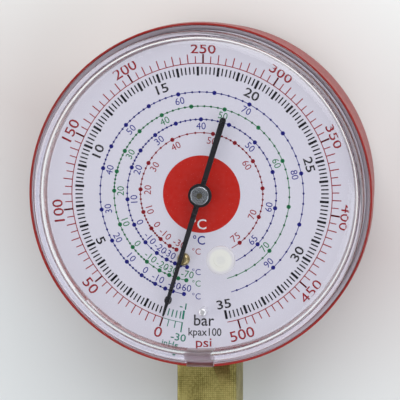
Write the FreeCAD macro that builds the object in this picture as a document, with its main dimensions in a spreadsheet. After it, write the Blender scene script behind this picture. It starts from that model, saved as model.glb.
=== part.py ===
"""Compound pressure gauge with an 80 mm steel case, a bottom stem and a Bourdon tube movement.

The frame is in millimetres. Its origin lies on the stem's axis at the shoulder above the
thread, Z is up, X is to the reader's right and the dial faces -Y. A "front" or "back" size is
a distance forward of the stem's axis, so a face at front f lies at y = -f. A dial angle is in
degrees clockwise from straight down, as the reader sees it.
"""

import FreeCAD, Part
import math
import os
import Sketcher
from FreeCAD import Placement, Rotation, Vector

doc = FreeCAD.newDocument("compound_gauge")

# Driving dimensions: name, size, what it is

DRIVING = [
    ("dial_height", 54.0, "stem shoulder up to the dial's centre"),
    ("rim_radius", 40.0, "outer face of the case's front wall"),
    ("sheet", 0.4, "case sheet steel"),
    ("seat_width", 1.8, "step that carries the dial"),
    ("case_depth", 10.5, "stem axis back to the case's back face"),
    ("back_corner", 4.0, "outer radius of the case's back corner"),
    ("case_opening", 3.0, "hole for the socket, inward of the case's wall"),
    ("rim_front", 19.0, "front edge of that wall"),
    ("seat_front", 15.0, "face that the dial lies on"),
    ("dial_thickness", 0.5, "aluminium dial sheet"),
    ("dial_gap", 0.2, "dial edge to the case wall"),
    ("gasket_thickness", 0.6, "rubber ring on the dial"),
    ("gasket_width", 1.2, "rubber ring, radially"),
    ("lens_gap", 0.2, "lens skirt to the case wall"),
    ("lens_wall", 1.8, "lens wall, radially"),
    ("lens_flange", 1.0, "lens flange beyond its wall"),
    ("flange_sink", 0.3, "rim's edge back to the front of that flange"),
    ("lens_window", 2.0, "lens window"),
    ("lens_front", 24.5, "front face of the window"),
    ("lens_shoulder", 3.2, "outer radius of the lens's shoulder"),
    ("inner_shoulder", 1.8, "inner radius of that shoulder"),
    ("nib_rise", 0.15, "snap nib on the lens skirt"),
    ("nib_length", 4.0, "snap nib along the skirt"),
    ("nib_width", 0.6, "snap nib along the depth"),
    ("nib_back", 0.5, "skirt's edge to the snap nib"),
    ("key_width", 6.2, "key at the bottom of the lens"),
    ("key_gap", 0.2, "key to the notches that it stands in"),
    ("running_gap", 0.05, "play of parts that slide or turn in one another"),
    ("fit_gap", 0.02, "play of parts that are pressed or brazed together"),
    ("end_play", 0.1, "play of screws in their holes and of staffs at their ends"),
    ("plug_radius", 3.35, "head of the lens plug"),
    ("plug_head", 0.8, "thickness of that head"),
    ("plug_barrel", 2.4, "access hole in the lens"),
    ("plug_hollow", 1.6, "hollow in the plug, open inside the lens"),
    ("plug_dimple", 0.2, "depth of the dimple in its head"),
    ("plug_foot", 0.4, "plug beyond the window's inside"),
    ("plug_floor", 0.7, "skin between dimple and hollow"),
    ("plug_offset", 15.35, "dial centre to the plug"),
    ("plug_angle", -21.4, "dial angle of the plug"),
    ("square", 14.0, "wrench square of the socket"),
    ("square_bevel", 0.6, "bevel of its edges"),
    ("stem_radius", 5.05, "stem over the thread"),
    ("stem_length", 10.0, "threaded stem"),
    ("stem_bevel", 0.7, "lead-in at the stem's end"),
    ("port_radius", 1.5, "bore of the stem"),
    ("restrictor_length", 3.0, "throttle plug"),
    ("restrictor_hole", 0.4, "radius of its hole"),
    ("restrictor_inset", 1.5, "stem's end up to the throttle plug"),
    ("block_top", 22.0, "dial centre down to the top of the socket's block"),
    ("pad_front", 7.0, "face of the block under the movement"),
    ("boss_gap", 1.0, "case's back corner up to the foot of the socket's rear boss"),
    ("tube_radius", 27.0, "mean radius of the C tube"),
    ("tube_start", 10.0, "dial angle of the tube's root"),
    ("tube_end", 284.0, "dial angle of the tube's free end"),
    ("tube_height", 9.0, "tube section along the depth"),
    ("tube_width", 2.6, "tube section along the radius"),
    ("tube_wall", 0.35, "tube wall"),
    ("tube_middle", -1.5, "front of the tube section's middle"),
    ("tube_seat", 12.0, "length of the tube's seat in the socket, in degrees"),
    ("cap_angle", 9.0, "length of the tube's end cap, in degrees"),
    ("ear_thickness", 1.2, "ear that carries the link"),
    ("tip_pivot_radius", 21.5, "dial centre to the link's pivot in the ear"),
    ("tip_pivot_angle", 296.4, "dial angle of that pivot"),
    ("gear_module", 0.25, "module of the teeth"),
    ("pinion_teeth", 12, "teeth of the pinion"),
    ("sector_teeth", 120, "teeth of the full wheel that the sector is cut from"),
    ("sector_cut_teeth", 19, "teeth that the sector has"),
    ("pressure_angle", 25.0, "of the teeth"),
    ("backlash", 0.03, "thinning of each tooth at the pitch line"),
    ("sector_pivot_angle", 330.8, "dial angle of the sector's staff"),
    ("sector_rest_turn", 16.1, "sector clockwise of mid mesh at rest"),
    ("tail_arm", 7.0, "sector staff to the tail's pin"),
    ("tail_angle", 318.1, "direction of the tail at rest, as a dial angle"),
    ("sector_rim", 1.5, "sector's rim behind the teeth"),
    ("sector_hub", 1.4, "sector's hub round its staff"),
    ("plate_thickness", 1.0, "bottom plate of the movement"),
    ("top_thickness", 0.8, "top plate of the movement"),
    ("pillar_length", 3.6, "between the plates"),
    ("pillar_radius", 1.3, "pillar between the plates"),
    ("pillar_left", 7.5, "dial centre to the left pillar, across"),
    ("pillar_left_drop", 4.0, "dial centre down to the left pillar"),
    ("pillar_right", 9.5, "dial centre to the right pillar, across"),
    ("pillar_right_rise", 6.0, "dial centre up to the right pillar"),
    ("pillar_foot", 1.2, "top of the block down to the lowest pillar"),
    ("plate_margin", 2.7, "plates round their pillars and staffs"),
    ("plate_corner", 1.2, "corner radius of the plates"),
    ("layer_gap", 0.25, "between link, sector and plate"),
    ("link_thickness", 0.6, "flat link"),
    ("link_width", 1.2, "waist of the link"),
    ("sector_thickness", 0.9, "toothed sector"),
    ("tip_pin", 0.4, "radius of the screw in the tube's ear"),
    ("pin_head", 0.5, "heads of the screw and the pin of the link"),
    ("tail_pin", 0.3, "radius of the pin in the sector's tail"),
    ("tail_play", 0.2, "play of that pin in the link's eye"),
    ("staff_radius", 0.9, "sector staff"),
    ("pivot_radius", 0.5, "pivots of the staffs"),
    ("pinion_overlap", 0.4, "pinion beyond the sector, each side"),
    ("arbor_radius", 0.75, "pinion staff"),
    ("arbor_tip", 0.65, "its end in the pointer"),
    ("arbor_step", 2.0, "length of that end behind the pointer"),
    ("arbor_rise", 0.9, "length of that end in front of the pointer"),
    ("spring_width", 0.5, "hairspring strip"),
    ("spring_strip", 0.12, "thickness of that strip"),
    ("spring_inner", 1.5, "first turn of the hairspring"),
    ("spring_pitch", 0.7, "between its turns"),
    ("spring_turns", 5, "turns of the hairspring"),
    ("spring_lift", 0.6, "sector's face to the hairspring"),
    ("screw_depth", 2.8, "movement and case screws in the socket"),
    ("screw_radius", 0.95, "movement screws"),
    ("movement_screw_head", 1.8, "radius of their heads"),
    ("movement_screw_height", 1.1, "height of their heads"),
    ("movement_screw_side", 4.6, "stem axis to each, across"),
    ("movement_screw_drop", 4.6, "top of the block down to them"),
    ("plate_screw_radius", 0.75, "plate screws"),
    ("plate_screw_head", 1.5, "radius of their heads"),
    ("plate_screw_height", 0.5, "height of their heads"),
    ("plate_screw_depth", 2.0, "plate screws in the pillars"),
    ("case_screw_radius", 1.5, "case screws"),
    ("case_screw_head", 2.75, "radius of their heads"),
    ("case_screw_height", 1.8, "height of their heads"),
    ("case_screw_side", 4.2, "stem axis to each, across"),
    ("case_screw_rise", 4.0, "foot of the rear boss up to them"),
    ("stop_radius", 0.95, "stop pin"),
    ("stop_offset", 27.2, "dial centre to the stop pin"),
    ("stop_angle", -1.4, "dial angle of the stop pin"),
    ("stop_foot", 0.56, "radius of its foot in the dial"),
    ("stop_rivet", 0.4, "its rivet head behind the dial"),
    ("stop_rise", 0.5, "its end in front of the pointer"),
    ("adjuster_radius", 1.5, "head of the calibration screw"),
    ("adjuster_head", 1.0, "height of that head"),
    ("adjuster_shank", 1.0, "its shank"),
    ("adjuster_offset", 15.8, "dial centre to the calibration screw"),
    ("adjuster_angle", 15.4, "dial angle of that screw"),
    ("pointer_angle", 17.0, "dial angle of the pointer at rest"),
    ("pointer_back", 18.3, "back face of the pointer"),
    ("pointer_sheet", 0.4, "pointer blank"),
    ("pointer_reach", 29.6, "pointer centre to its tip"),
    ("pointer_tail", 19.0, "pointer centre to the end of its tail"),
    ("pointer_root", 0.66, "half width of the needle at the centre"),
    ("pointer_neck", 0.42, "half width of the needle where its tip begins"),
    ("pointer_taper", 3.2, "length of that tip"),
    ("pointer_point", 0.22, "half width of the very end"),
    ("tail_root", 0.56, "half width of the tail at the centre"),
    ("tail_round", 0.72, "half width of the tail at its round end"),
    ("pointer_hub", 2.75, "disc at the pointer's centre"),
    ("bushing_radius", 2.15, "silver cap on the pointer"),
    ("bushing_cap", 0.6, "thickness of that cap"),
    ("bushing_barrel", 1.3, "its barrel in the pointer"),
]

sheet = doc.addObject("Spreadsheet::Sheet", "sizes")
for row, (name, value, note) in enumerate(DRIVING, 1):
    sheet.set(f"A{row}", name)
    sheet.set(f"B{row}", str(value))
    sheet.set(f"C{row}", note)
    sheet.setAlias(f"B{row}", name)
doc.recompute()


class Size:
    """A size with its value and the formula that ties it to the sheet."""

    def __init__(self, value, text):
        self.value = value
        self.text = text

    def __add__(self, other):
        other = as_size(other)
        return Size(self.value + other.value, f"({self.text} + {other.text})")

    def __sub__(self, other):
        other = as_size(other)
        return Size(self.value - other.value, f"({self.text} - {other.text})")

    def __mul__(self, other):
        other = as_size(other)
        return Size(self.value * other.value, f"({self.text} * {other.text})")

    def __truediv__(self, other):
        other = as_size(other)
        return Size(self.value / other.value, f"({self.text} / {other.text})")

    def __neg__(self):
        return Size(-self.value, f"(0 - {self.text})")


def as_size(number):
    if isinstance(number, Size):
        return number
    return Size(float(number), f"{float(number)}" if number >= 0 else f"(0 - {-float(number)})")


def sine(angle):
    return Size(math.sin(math.radians(angle.value)), f"sin({angle.text} * 1 deg)")


def cosine(angle):
    return Size(math.cos(math.radians(angle.value)), f"cos({angle.text} * 1 deg)")


def across(radius, angle):
    """X of a place on the dial, from its centre."""
    return -(radius * sine(angle))


def up(radius, angle):
    """Z of a place on the dial, from its centre."""
    return -(radius * cosine(angle))


class Sizes:
    """Each driving dimension by its name in the sheet."""


s = Sizes()
for name, value, note in DRIVING:
    setattr(s, name, Size(float(sheet.get(name)), f"sizes.{name}"))

# Sizes worked out from the driving dimensions

wall_inner = s.rim_radius - s.sheet
shell_outer = s.rim_radius - s.seat_width
shell_inner = shell_outer - s.sheet
inner_back = s.sheet - s.case_depth
dial_radius = wall_inner - s.dial_gap
dial_front = s.seat_front + s.dial_thickness
gasket_front = dial_front + s.gasket_thickness
skirt_radius = wall_inner - s.lens_gap
lens_radius = skirt_radius - s.lens_flange
skirt_inner = lens_radius - s.lens_wall
window_back = s.lens_front - s.lens_window
notch_half = s.key_width / 2 + s.key_gap
boss_drop = shell_inner - s.back_corner - s.boss_gap

plate_front = s.pad_front + s.plate_thickness
link_back = plate_front + s.layer_gap
link_front = link_back + s.link_thickness
sector_back = link_front + s.layer_gap
sector_front = sector_back + s.sector_thickness
pinion_back = sector_back - s.pinion_overlap
pinion_front = sector_front + s.pinion_overlap
spring_back = sector_front + s.spring_lift
spring_front = spring_back + s.spring_width
top_back = plate_front + s.pillar_length
top_front = top_back + s.top_thickness
pivot_hole = s.pivot_radius + s.running_gap
stud_radius = s.pivot_radius * 0.9
pointer_front = s.pointer_back + s.pointer_sheet
arbor_front = pointer_front + s.arbor_rise

centre_distance = (s.pinion_teeth + s.sector_teeth) * s.gear_module / 2
sector_x = across(centre_distance, s.sector_pivot_angle)
sector_z = up(centre_distance, s.sector_pivot_angle)
tail_x = sector_x + across(s.tail_arm, s.tail_angle)
tail_z = sector_z + up(s.tail_arm, s.tail_angle)
tip_x = across(s.tip_pivot_radius, s.tip_pivot_angle)
tip_z = up(s.tip_pivot_radius, s.tip_pivot_angle)

screw_z = -(s.block_top + s.movement_screw_drop)
case_screw_z = s.case_screw_rise - boss_drop
LEFT_PILLAR = (-s.pillar_left, -s.pillar_left_drop)
RIGHT_PILLAR = (s.pillar_right, s.pillar_right_rise)
FOOT_PILLAR = (as_size(0), -(s.block_top + s.pillar_foot))
PILLARS = [LEFT_PILLAR, RIGHT_PILLAR, FOOT_PILLAR]
MOVEMENT_SCREWS = [(-s.movement_screw_side, screw_z), (s.movement_screw_side, screw_z)]
CASE_SCREWS = [(-s.case_screw_side, case_screw_z), (s.case_screw_side, case_screw_z)]
NIB_ANGLES = [44.0, 126.0, 229.0, 311.0]
PAST = 1.0  # how far a cut runs beyond the face where it starts or ends
TUBE_OVERLAP = 1.0  # degrees of the socket's passage that the tube's root covers


def bind(thing, path, size):
    thing.setExpression(path, as_size(size).text)


def new_body(label, x=0, front=0, z=None, turn=None):
    """A body whose own origin is at the dial's centre, or at x, front and z from it."""
    body = doc.addObject("PartDesign::Body", label)
    body.Label = label
    height = s.dial_height if z is None else s.dial_height + z
    if turn is not None:
        turn = as_size(turn)
        body.Placement = Placement(Vector(), Rotation(Vector(0, 1, 0), turn.value))
        bind(body, "Placement.Rotation.Angle", turn)
    bind(body, "Placement.Base.x", x)
    bind(body, "Placement.Base.y", -as_size(front))
    bind(body, "Placement.Base.z", height)
    return body


def new_sketch(body, role, offset=0):
    """A sketch on one of the body's own planes, moved along the plane's normal."""
    plane = next(f for f in body.Origin.OriginFeatures if f.Role == role)
    sketch = body.newObject("Sketcher::SketchObject", body.Name + "_sketch")
    sketch.AttachmentSupport = [(plane, "")]
    sketch.MapMode = "FlatFace"
    bind(sketch, "AttachmentOffset.Base.z", offset)
    return sketch


def pin_point(sketch, geometry, vertex, x, y):
    """Holds one vertex of the sketch at bound distances from its origin."""
    for kind, size in (("DistanceX", as_size(x)), ("DistanceY", as_size(y))):
        index = sketch.addConstraint(Sketcher.Constraint(kind, -1, 1, geometry, vertex, size.value))
        sketch.setExpression(f"Constraints[{index}]", size.text)


def outline(sketch, corners):
    """Closes an outline of straight runs. A corner with a third size is rounded by it, and
    both of its runs then lie along the sketch's axes."""
    points = [(as_size(c[0]), as_size(c[1])) for c in corners]
    ends = []
    for i, corner in enumerate(corners):
        x, y = points[i]
        if len(corner) == 2:
            ends.append((x, y, x, y, None))
            continue
        radius = as_size(corner[2])
        before, after = points[i - 1], points[(i + 1) % len(points)]
        way_in = direction(points[i], before)
        way_out = direction(points[i], after)
        ends.append((
            x + radius * way_in[0], y + radius * way_in[1],
            x + radius * way_out[0], y + radius * way_out[1], (radius, way_in, way_out),
        ))
    runs = []
    for i, end in enumerate(ends):
        following = ends[(i + 1) % len(ends)]
        if end[4]:
            runs.append(corner_arc(sketch, end))
        start = Vector(end[2].value, end[3].value, 0)
        stop = Vector(following[0].value, following[1].value, 0)
        line = sketch.addGeometry(Part.LineSegment(start, stop), False)
        pin_point(sketch, line, 1, end[2], end[3])
        if following[4]:
            pin_point(sketch, line, 2, following[0], following[1])
        runs.append((line, 1, 2))
    for this, following in zip(runs, runs[1:] + runs[:1]):
        sketch.addConstraint(Sketcher.Constraint("Coincident", this[0], this[2], following[0], following[1]))


def direction(start, stop):
    """The axis direction from one point of an outline to another."""
    dx = stop[0].value - start[0].value
    dy = stop[1].value - start[1].value
    if abs(dx) > abs(dy):
        return (math.copysign(1, dx), 0)
    return (0, math.copysign(1, dy))


def corner_arc(sketch, end):
    radius, way_in, way_out = end[4]
    size = radius.value
    centre = Vector(end[0].value + way_out[0] * size, end[1].value + way_out[1] * size, 0)
    first = math.atan2(end[1].value - centre.y, end[0].value - centre.x)
    last = math.atan2(end[3].value - centre.y, end[2].value - centre.x)
    left_turn = (-way_in[0]) * way_out[1] - (-way_in[1]) * way_out[0] > 0
    circle = Part.Circle(centre, Vector(0, 0, 1), size)
    if left_turn:
        last += 2 * math.pi * (last <= first)
        arc = sketch.addGeometry(Part.ArcOfCircle(circle, first, last), False)
        order = (arc, 1, 2)
    else:
        first += 2 * math.pi * (first <= last)
        arc = sketch.addGeometry(Part.ArcOfCircle(circle, last, first), False)
        order = (arc, 2, 1)
    index = sketch.addConstraint(Sketcher.Constraint("Radius", arc, size))
    sketch.setExpression(f"Constraints[{index}]", radius.text)
    return order


def ring(sketch, radius, x=0, y=0):
    """A circle about a bound centre."""
    x, y, radius = as_size(x), as_size(y), as_size(radius)
    circle = Part.Circle(Vector(x.value, y.value, 0), Vector(0, 0, 1), radius.value)
    circle = sketch.addGeometry(circle, False)
    pin_point(sketch, circle, 3, x, y)
    index = sketch.addConstraint(Sketcher.Constraint("Radius", circle, radius.value))
    sketch.setExpression(f"Constraints[{index}]", radius.text)


def box_corners(left, right, low, high):
    return [(left, low), (right, low), (right, high), (left, high)]


def pad(body, sketch, length):
    feature = body.newObject("PartDesign::Pad", body.Name + "_pad")
    feature.Profile = sketch
    bind(feature, "Length", length)
    return feature


def pocket(body, sketch, length, along_normal=True):
    feature = body.newObject("PartDesign::Pocket", body.Name + "_pocket")
    feature.Profile = sketch
    feature.Reversed = along_normal
    bind(feature, "Length", length)
    return feature


def revolve(body, corners, angle=360, kind="Revolution"):
    """Turns an outline of (front, radius) corners about the body's depth axis."""
    sketch = new_sketch(body, "YZ_Plane")
    outline(sketch, [(-as_size(c[0]), *c[1:]) for c in corners])
    feature = body.newObject("PartDesign::" + kind, body.Name + "_turned")
    feature.Profile = sketch
    feature.ReferenceAxis = (sketch, ["H_Axis"])
    bind(feature, "Angle", angle)
    return feature


def front_pad(body, back, front, draw):
    """A pad from one depth to another, of what draw puts in its sketch."""
    sketch = new_sketch(body, "XZ_Plane", back)
    draw(sketch)
    return pad(body, sketch, as_size(front) - back)


def front_pocket(body, back, front, draw):
    """A pocket from one depth to another, of what draw puts in its sketch."""
    sketch = new_sketch(body, "XZ_Plane", back)
    draw(sketch)
    return pocket(body, sketch, as_size(front) - back)


def round_edges(body, base, radius, wanted, kind="Fillet"):
    """Fillets or chamfers the edges of the last feature that wanted picks."""
    doc.recompute()
    names = [f"Edge{i}" for i, edge in enumerate(base.Shape.Edges, 1) if wanted(edge)]
    feature = body.newObject("PartDesign::" + kind, body.Name + "_" + kind.lower())
    feature.Base = (base, names)
    bind(feature, "Radius" if kind == "Fillet" else "Size", radius)
    return feature


def runs_along(edge, way):
    """True for a straight edge along a direction."""
    if not isinstance(edge.Curve, Part.Line):
        return False
    return abs(edge.Curve.Direction.dot(way)) > 0.999


def group(label, members):
    """Several equal solids kept together under one name."""
    compound = doc.addObject("Part::Compound", label)
    compound.Label = label
    compound.Links = members
    return compound


def screw(label, x, z, seat, head, height, radius, length, rearward=False, turn=None):
    """A round-headed slotted screw whose head lies on the seat."""
    body = new_body(label, x, seat, z, turn)
    if rearward:
        body.Placement = Placement(Vector(), Rotation(Vector(0, 0, 1), 180))
    revolve(body, [
        (-length, 0), (-length, radius), (0, radius), (0, head), (height, head, height * 0.9), (height, 0),
    ])
    half_slot = head * 0.15
    slot = box_corners(-head - PAST, head + PAST, -half_slot, half_slot)
    front_pocket(body, height * 0.45, height + PAST, lambda sk: outline(sk, slot))
    return body


# Case: a drawn pan with a step for the dial and a wider wall round the lens

def make_case():
    body = new_body("case")
    step_back = s.seat_front - s.sheet
    revolve(body, [
        (-s.case_depth, 0),
        (-s.case_depth, shell_outer, s.back_corner),
        (step_back, shell_outer),
        (step_back, s.rim_radius),
        (s.rim_front, s.rim_radius),
        (s.rim_front, wall_inner),
        (s.seat_front, wall_inner),
        (s.seat_front, shell_inner),
        (inner_back, shell_inner, s.back_corner - s.sheet),
        (inner_back, 0),
    ])
    half = s.square / 2 + s.running_gap
    sketch = new_sketch(body, "XY_Plane", -(s.rim_radius + PAST))
    outline(sketch, box_corners(-half, half, -half, half))
    pocket(body, sketch, s.rim_radius + PAST - shell_inner + s.case_opening)
    front_pocket(body, s.seat_front, s.rim_front + PAST, lambda sk: outline(sk, key_notch()))
    for x, z in CASE_SCREWS:
        front_pocket(body, -s.case_depth - PAST, inner_back + PAST,
                     lambda sk: ring(sk, s.case_screw_radius + s.end_play, x, z))
    return body


def key_notch():
    """The notch at the bottom in which the lens's key stands, in the dial's plane."""
    return box_corners(-notch_half, notch_half, -(s.rim_radius + PAST), -(skirt_inner - s.key_gap))


# Socket: stem, wrench square and the block that carries tube and movement

def make_socket():
    body = new_body("socket", z=-s.dial_height)
    half = s.square / 2
    top = s.dial_height - s.block_top
    sketch = new_sketch(body, "XY_Plane")
    outline(sketch, box_corners(-half, half, -half, half))
    block = pad(body, sketch, top)
    round_edges(body, block, s.square_bevel, lambda e: runs_along(e, Vector(0, 0, 1)), "Chamfer")
    inset = half - s.square_bevel
    sketch = new_sketch(body, "XZ_Plane", inner_back)
    outline(sketch, box_corners(-inset, inset, s.dial_height - boss_drop, top))
    pad(body, sketch, -inner_back - half + PAST)
    sketch = new_sketch(body, "XY_Plane", -s.stem_length)
    ring(sketch, s.stem_radius)
    stem = pad(body, sketch, s.stem_length)
    low = -s.stem_length.value
    round_edges(body, stem, s.stem_bevel,
                lambda e: abs(e.BoundBox.ZMax - low) < 1e-6 and isinstance(e.Curve, Part.Circle), "Chamfer")
    sketch = new_sketch(body, "XY_Plane", -(s.stem_length + PAST))
    ring(sketch, s.port_radius)
    pocket(body, sketch, s.stem_length + PAST + s.dial_height - s.tube_radius)
    bore_width, bore_height = s.tube_width - s.tube_wall * 2, s.tube_height - s.tube_wall * 4
    seat_width, seat_height = s.tube_width + s.running_gap * 2, s.tube_height + s.running_gap * 2
    tube_slot(body, as_size(0), bore_width, bore_height, s.tube_start + TUBE_OVERLAP)
    tube_slot(body, s.tube_start, seat_width, seat_height, s.tube_seat)
    hole_depth = s.screw_depth + s.end_play * 2
    for x, z in MOVEMENT_SCREWS:
        front_pocket(body, s.pad_front - hole_depth, s.pad_front + PAST,
                     lambda sk: ring(sk, s.screw_radius + s.running_gap, x, s.dial_height + z))
    for x, z in CASE_SCREWS:
        front_pocket(body, inner_back - PAST, inner_back + hole_depth,
                     lambda sk: ring(sk, s.case_screw_radius + s.running_gap, x, s.dial_height + z))
    return body


def tube_slot(body, start, width, height, sweep):
    """Cuts the seat of the tube's root about the dial's axis, from a dial angle on."""
    sketch = new_sketch(body, "YZ_Plane")
    bind(sketch, "AttachmentOffset.Base.y", s.dial_height)
    turned = Rotation(Vector(1, 0, 0), start.value)
    sketch.AttachmentOffset = Placement(Vector(0, s.dial_height.value, 0), turned)
    bind(sketch, "AttachmentOffset.Rotation.Angle", start)
    tube_section(sketch, width, height)
    feature = body.newObject("PartDesign::Groove", body.Name + "_slot")
    feature.Profile = sketch
    feature.ReferenceAxis = (sketch, ["H_Axis"])
    bind(feature, "Angle", sweep)


def tube_section(sketch, width, height):
    """The tube's flattened section, seen below the dial's axis."""
    width, height = as_size(width), as_size(height)
    corner = width * 0.45
    near = -(s.tube_radius - width / 2)
    far = -(s.tube_radius + width / 2)
    back = -(s.tube_middle - height / 2)
    front = -(s.tube_middle + height / 2)
    outline(sketch, [(front, far, corner), (back, far, corner), (back, near, corner), (front, near, corner)])


def make_restrictor():
    body = new_body("port_restrictor", z=-s.dial_height)
    sketch = new_sketch(body, "XY_Plane", s.restrictor_inset - s.stem_length)
    ring(sketch, s.port_radius - s.fit_gap)
    ring(sketch, s.restrictor_hole)
    pad(body, sketch, s.restrictor_length)
    return body


# Bourdon tube with the cap and ear on its free end

def make_tube():
    body = new_body("bourdon_tube", turn=s.tube_start)
    sketch = new_sketch(body, "YZ_Plane")
    tube_section(sketch, s.tube_width, s.tube_height)
    tube_section(sketch, s.tube_width - s.tube_wall * 2, s.tube_height - s.tube_wall * 2)
    feature = body.newObject("PartDesign::Revolution", "tube_turned")
    feature.Profile = sketch
    feature.ReferenceAxis = (sketch, ["H_Axis"])
    bind(feature, "Angle", s.tube_end - s.tube_start)
    return body


def make_tube_tip():
    """The cap carries on the tube's curve, then rises and ends in an ear over the link's pivot."""
    body = new_body("tube_tip", turn=s.tube_end)
    sketch = new_sketch(body, "YZ_Plane")
    tube_section(sketch, s.tube_width, s.tube_height)
    cap = body.newObject("PartDesign::Revolution", "cap_turned")
    cap.Profile = sketch
    cap.ReferenceAxis = (sketch, ["H_Axis"])
    bind(cap, "Angle", s.cap_angle)
    inner = s.tube_radius - s.tube_width * 0.42
    outer = s.tube_radius + s.tube_width * 0.42
    turn = s.cap_angle - 1
    ear_back = link_back - s.layer_gap - s.ear_thickness
    corners = [
        (across(inner, as_size(1)), up(inner, as_size(1))),
        (across(outer, as_size(1)), up(outer, as_size(1))),
        (across(outer, turn), up(outer, turn)),
        (across(inner, turn), up(inner, turn)),
    ]
    front_pad(body, s.tube_middle, ear_back + s.ear_thickness, lambda sk: outline(sk, corners))
    pivot_angle = s.tip_pivot_angle - s.tube_end
    pivot_x = across(s.tip_pivot_radius, pivot_angle)
    pivot_z = up(s.tip_pivot_radius, pivot_angle)
    eye = s.tip_pin * 3.2
    arm = [
        (across(outer, turn - 5), up(outer, turn - 5)),
        (across(outer, turn), up(outer, turn)),
        (pivot_x - eye * 0.98, pivot_z - eye * 0.2),
        (pivot_x + eye * 0.96, pivot_z + eye * 0.28),
    ]
    front_pad(body, ear_back, ear_back + s.ear_thickness, lambda sk: outline(sk, arm))
    front_pad(body, ear_back, ear_back + s.ear_thickness, lambda sk: ring(sk, eye, pivot_x, pivot_z))
    front_pocket(body, ear_back - PAST, link_back + PAST,
                 lambda sk: ring(sk, s.tip_pin * 0.75 + s.fit_gap, pivot_x, pivot_z))
    return body


def make_tip_screw():
    """A shoulder screw: its thread stands in the ear and the link turns on its shoulder."""
    body = new_body("tip_screw", tip_x, link_back, tip_z)
    ear = s.ear_thickness + s.layer_gap
    thread, head = s.tip_pin * 0.75, s.tip_pin * 2.2
    head_back = s.link_thickness + s.end_play
    head_front = head_back + s.pin_head
    revolve(body, [
        (-ear, 0), (-ear, thread), (-s.layer_gap, thread), (-s.layer_gap, s.tip_pin),
        (head_back, s.tip_pin), (head_back, head), (head_front, head), (head_front, 0),
    ])
    return body


# Link, sector and pinion

def make_link():
    body = new_body("link")
    tip_eye = s.tip_pin * 2.5
    tail_eye = (s.tail_pin + s.tail_play) * 2
    run_x, run_z = tail_x - tip_x, tail_z - tip_z
    length = Size(math.hypot(run_x.value, run_z.value), f"sqrt({run_x.text} ^ 2 + {run_z.text} ^ 2)")
    side_x, side_z = run_z / length * s.link_width / 2, -(run_x / length * s.link_width / 2)
    waist = [
        (tip_x + side_x, tip_z + side_z), (tail_x + side_x, tail_z + side_z),
        (tail_x - side_x, tail_z - side_z), (tip_x - side_x, tip_z - side_z),
    ]
    front_pad(body, link_back, link_front, lambda sk: outline(sk, waist))
    front_pad(body, link_back, link_front, lambda sk: ring(sk, tip_eye, tip_x, tip_z))
    front_pad(body, link_back, link_front, lambda sk: ring(sk, tail_eye, tail_x, tail_z))
    front_pocket(body, link_back - PAST, link_front + PAST,
                 lambda sk: ring(sk, s.tip_pin + s.running_gap, tip_x, tip_z))
    front_pocket(body, link_back - PAST, link_front + PAST,
                 lambda sk: ring(sk, s.tail_pin + s.tail_play, tail_x, tail_z))
    return body


def involute(angle):
    return math.tan(angle) - angle


def tooth_half_angle(teeth, radius):
    """Half the angle that a tooth spans at a radius, in radians."""
    pressure = math.radians(s.pressure_angle.value)
    pitch = teeth * s.gear_module.value / 2
    base = pitch * math.cos(pressure)
    at_pitch = math.pi / (2 * teeth) - s.backlash.value / (2 * pitch)
    at_radius = involute(math.acos(min(1.0, base / max(radius, base))))
    return at_pitch + involute(pressure) - at_radius


def on_wheel(radius, angle):
    """A point of a wheel, by its angle from the X axis towards Z."""
    return Vector(radius * math.cos(angle), 0, radius * math.sin(angle))


def toothed_edges(teeth, count, first):
    """Edges of count teeth, from the middle of the first tooth's root gap on. Angles rise from
    X towards Z, and first is the middle of the first tooth."""
    module = s.gear_module.value
    pitch = teeth * module / 2
    tip, root = pitch + module, pitch - 1.25 * module
    base = max(root, pitch * math.cos(math.radians(s.pressure_angle.value)))
    step = 2 * math.pi / teeth
    edges = []
    for i in range(count):
        middle = first + i * step
        wide = tooth_half_angle(teeth, base)
        narrow = tooth_half_angle(teeth, tip)
        between = (base + tip) / 2
        half = tooth_half_angle(teeth, between)
        foot_a, foot_b = on_wheel(root, middle - wide), on_wheel(root, middle + wide)
        base_a, base_b = on_wheel(base, middle - wide), on_wheel(base, middle + wide)
        tip_a, tip_b = on_wheel(tip, middle - narrow), on_wheel(tip, middle + narrow)
        if i:
            edges.append(Part.Arc(last, on_wheel(root, middle - step / 2), foot_a).toShape())
        if base - root > 1e-6:
            edges.append(Part.LineSegment(foot_a, base_a).toShape())
        edges.append(Part.Arc(base_a, on_wheel(between, middle - half), tip_a).toShape())
        edges.append(Part.Arc(tip_a, on_wheel(tip, middle), tip_b).toShape())
        edges.append(Part.Arc(tip_b, on_wheel(between, middle + half), base_b).toShape())
        if base - root > 1e-6:
            edges.append(Part.LineSegment(base_b, foot_b).toShape())
        last = foot_b
    return edges


def slab(edges, back, front):
    """A flat piece between two depths, from the edges of its outline in the dial's plane."""
    face = Part.Face(Part.Wire(Part.__sortEdges__(edges)))
    face.translate(Vector(0, -back.value, 0))
    return face.extrude(Vector(0, back.value - front.value, 0))


def disc(radius, back, front, x=0.0, z=0.0):
    """A round piece or hole between two depths."""
    start = Vector(x, -back.value, z)
    return Part.makeCylinder(radius, front.value - back.value, start, Vector(0, -1, 0))


def add_feature(label, shape, x=0, z=0):
    """A piece from a computed shape, placed from the dial's centre."""
    feature = doc.addObject("Part::Feature", label)
    feature.Label = label
    feature.Shape = shape
    place = Vector(as_size(x).value, 0, s.dial_height.value + as_size(z).value)
    feature.Placement = Placement(place, Rotation())
    return feature


def mesh_direction():
    """The direction from the sector's staff to the pinion, as an angle from X towards Z."""
    return math.atan2(-sector_z.value, -sector_x.value)


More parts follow.
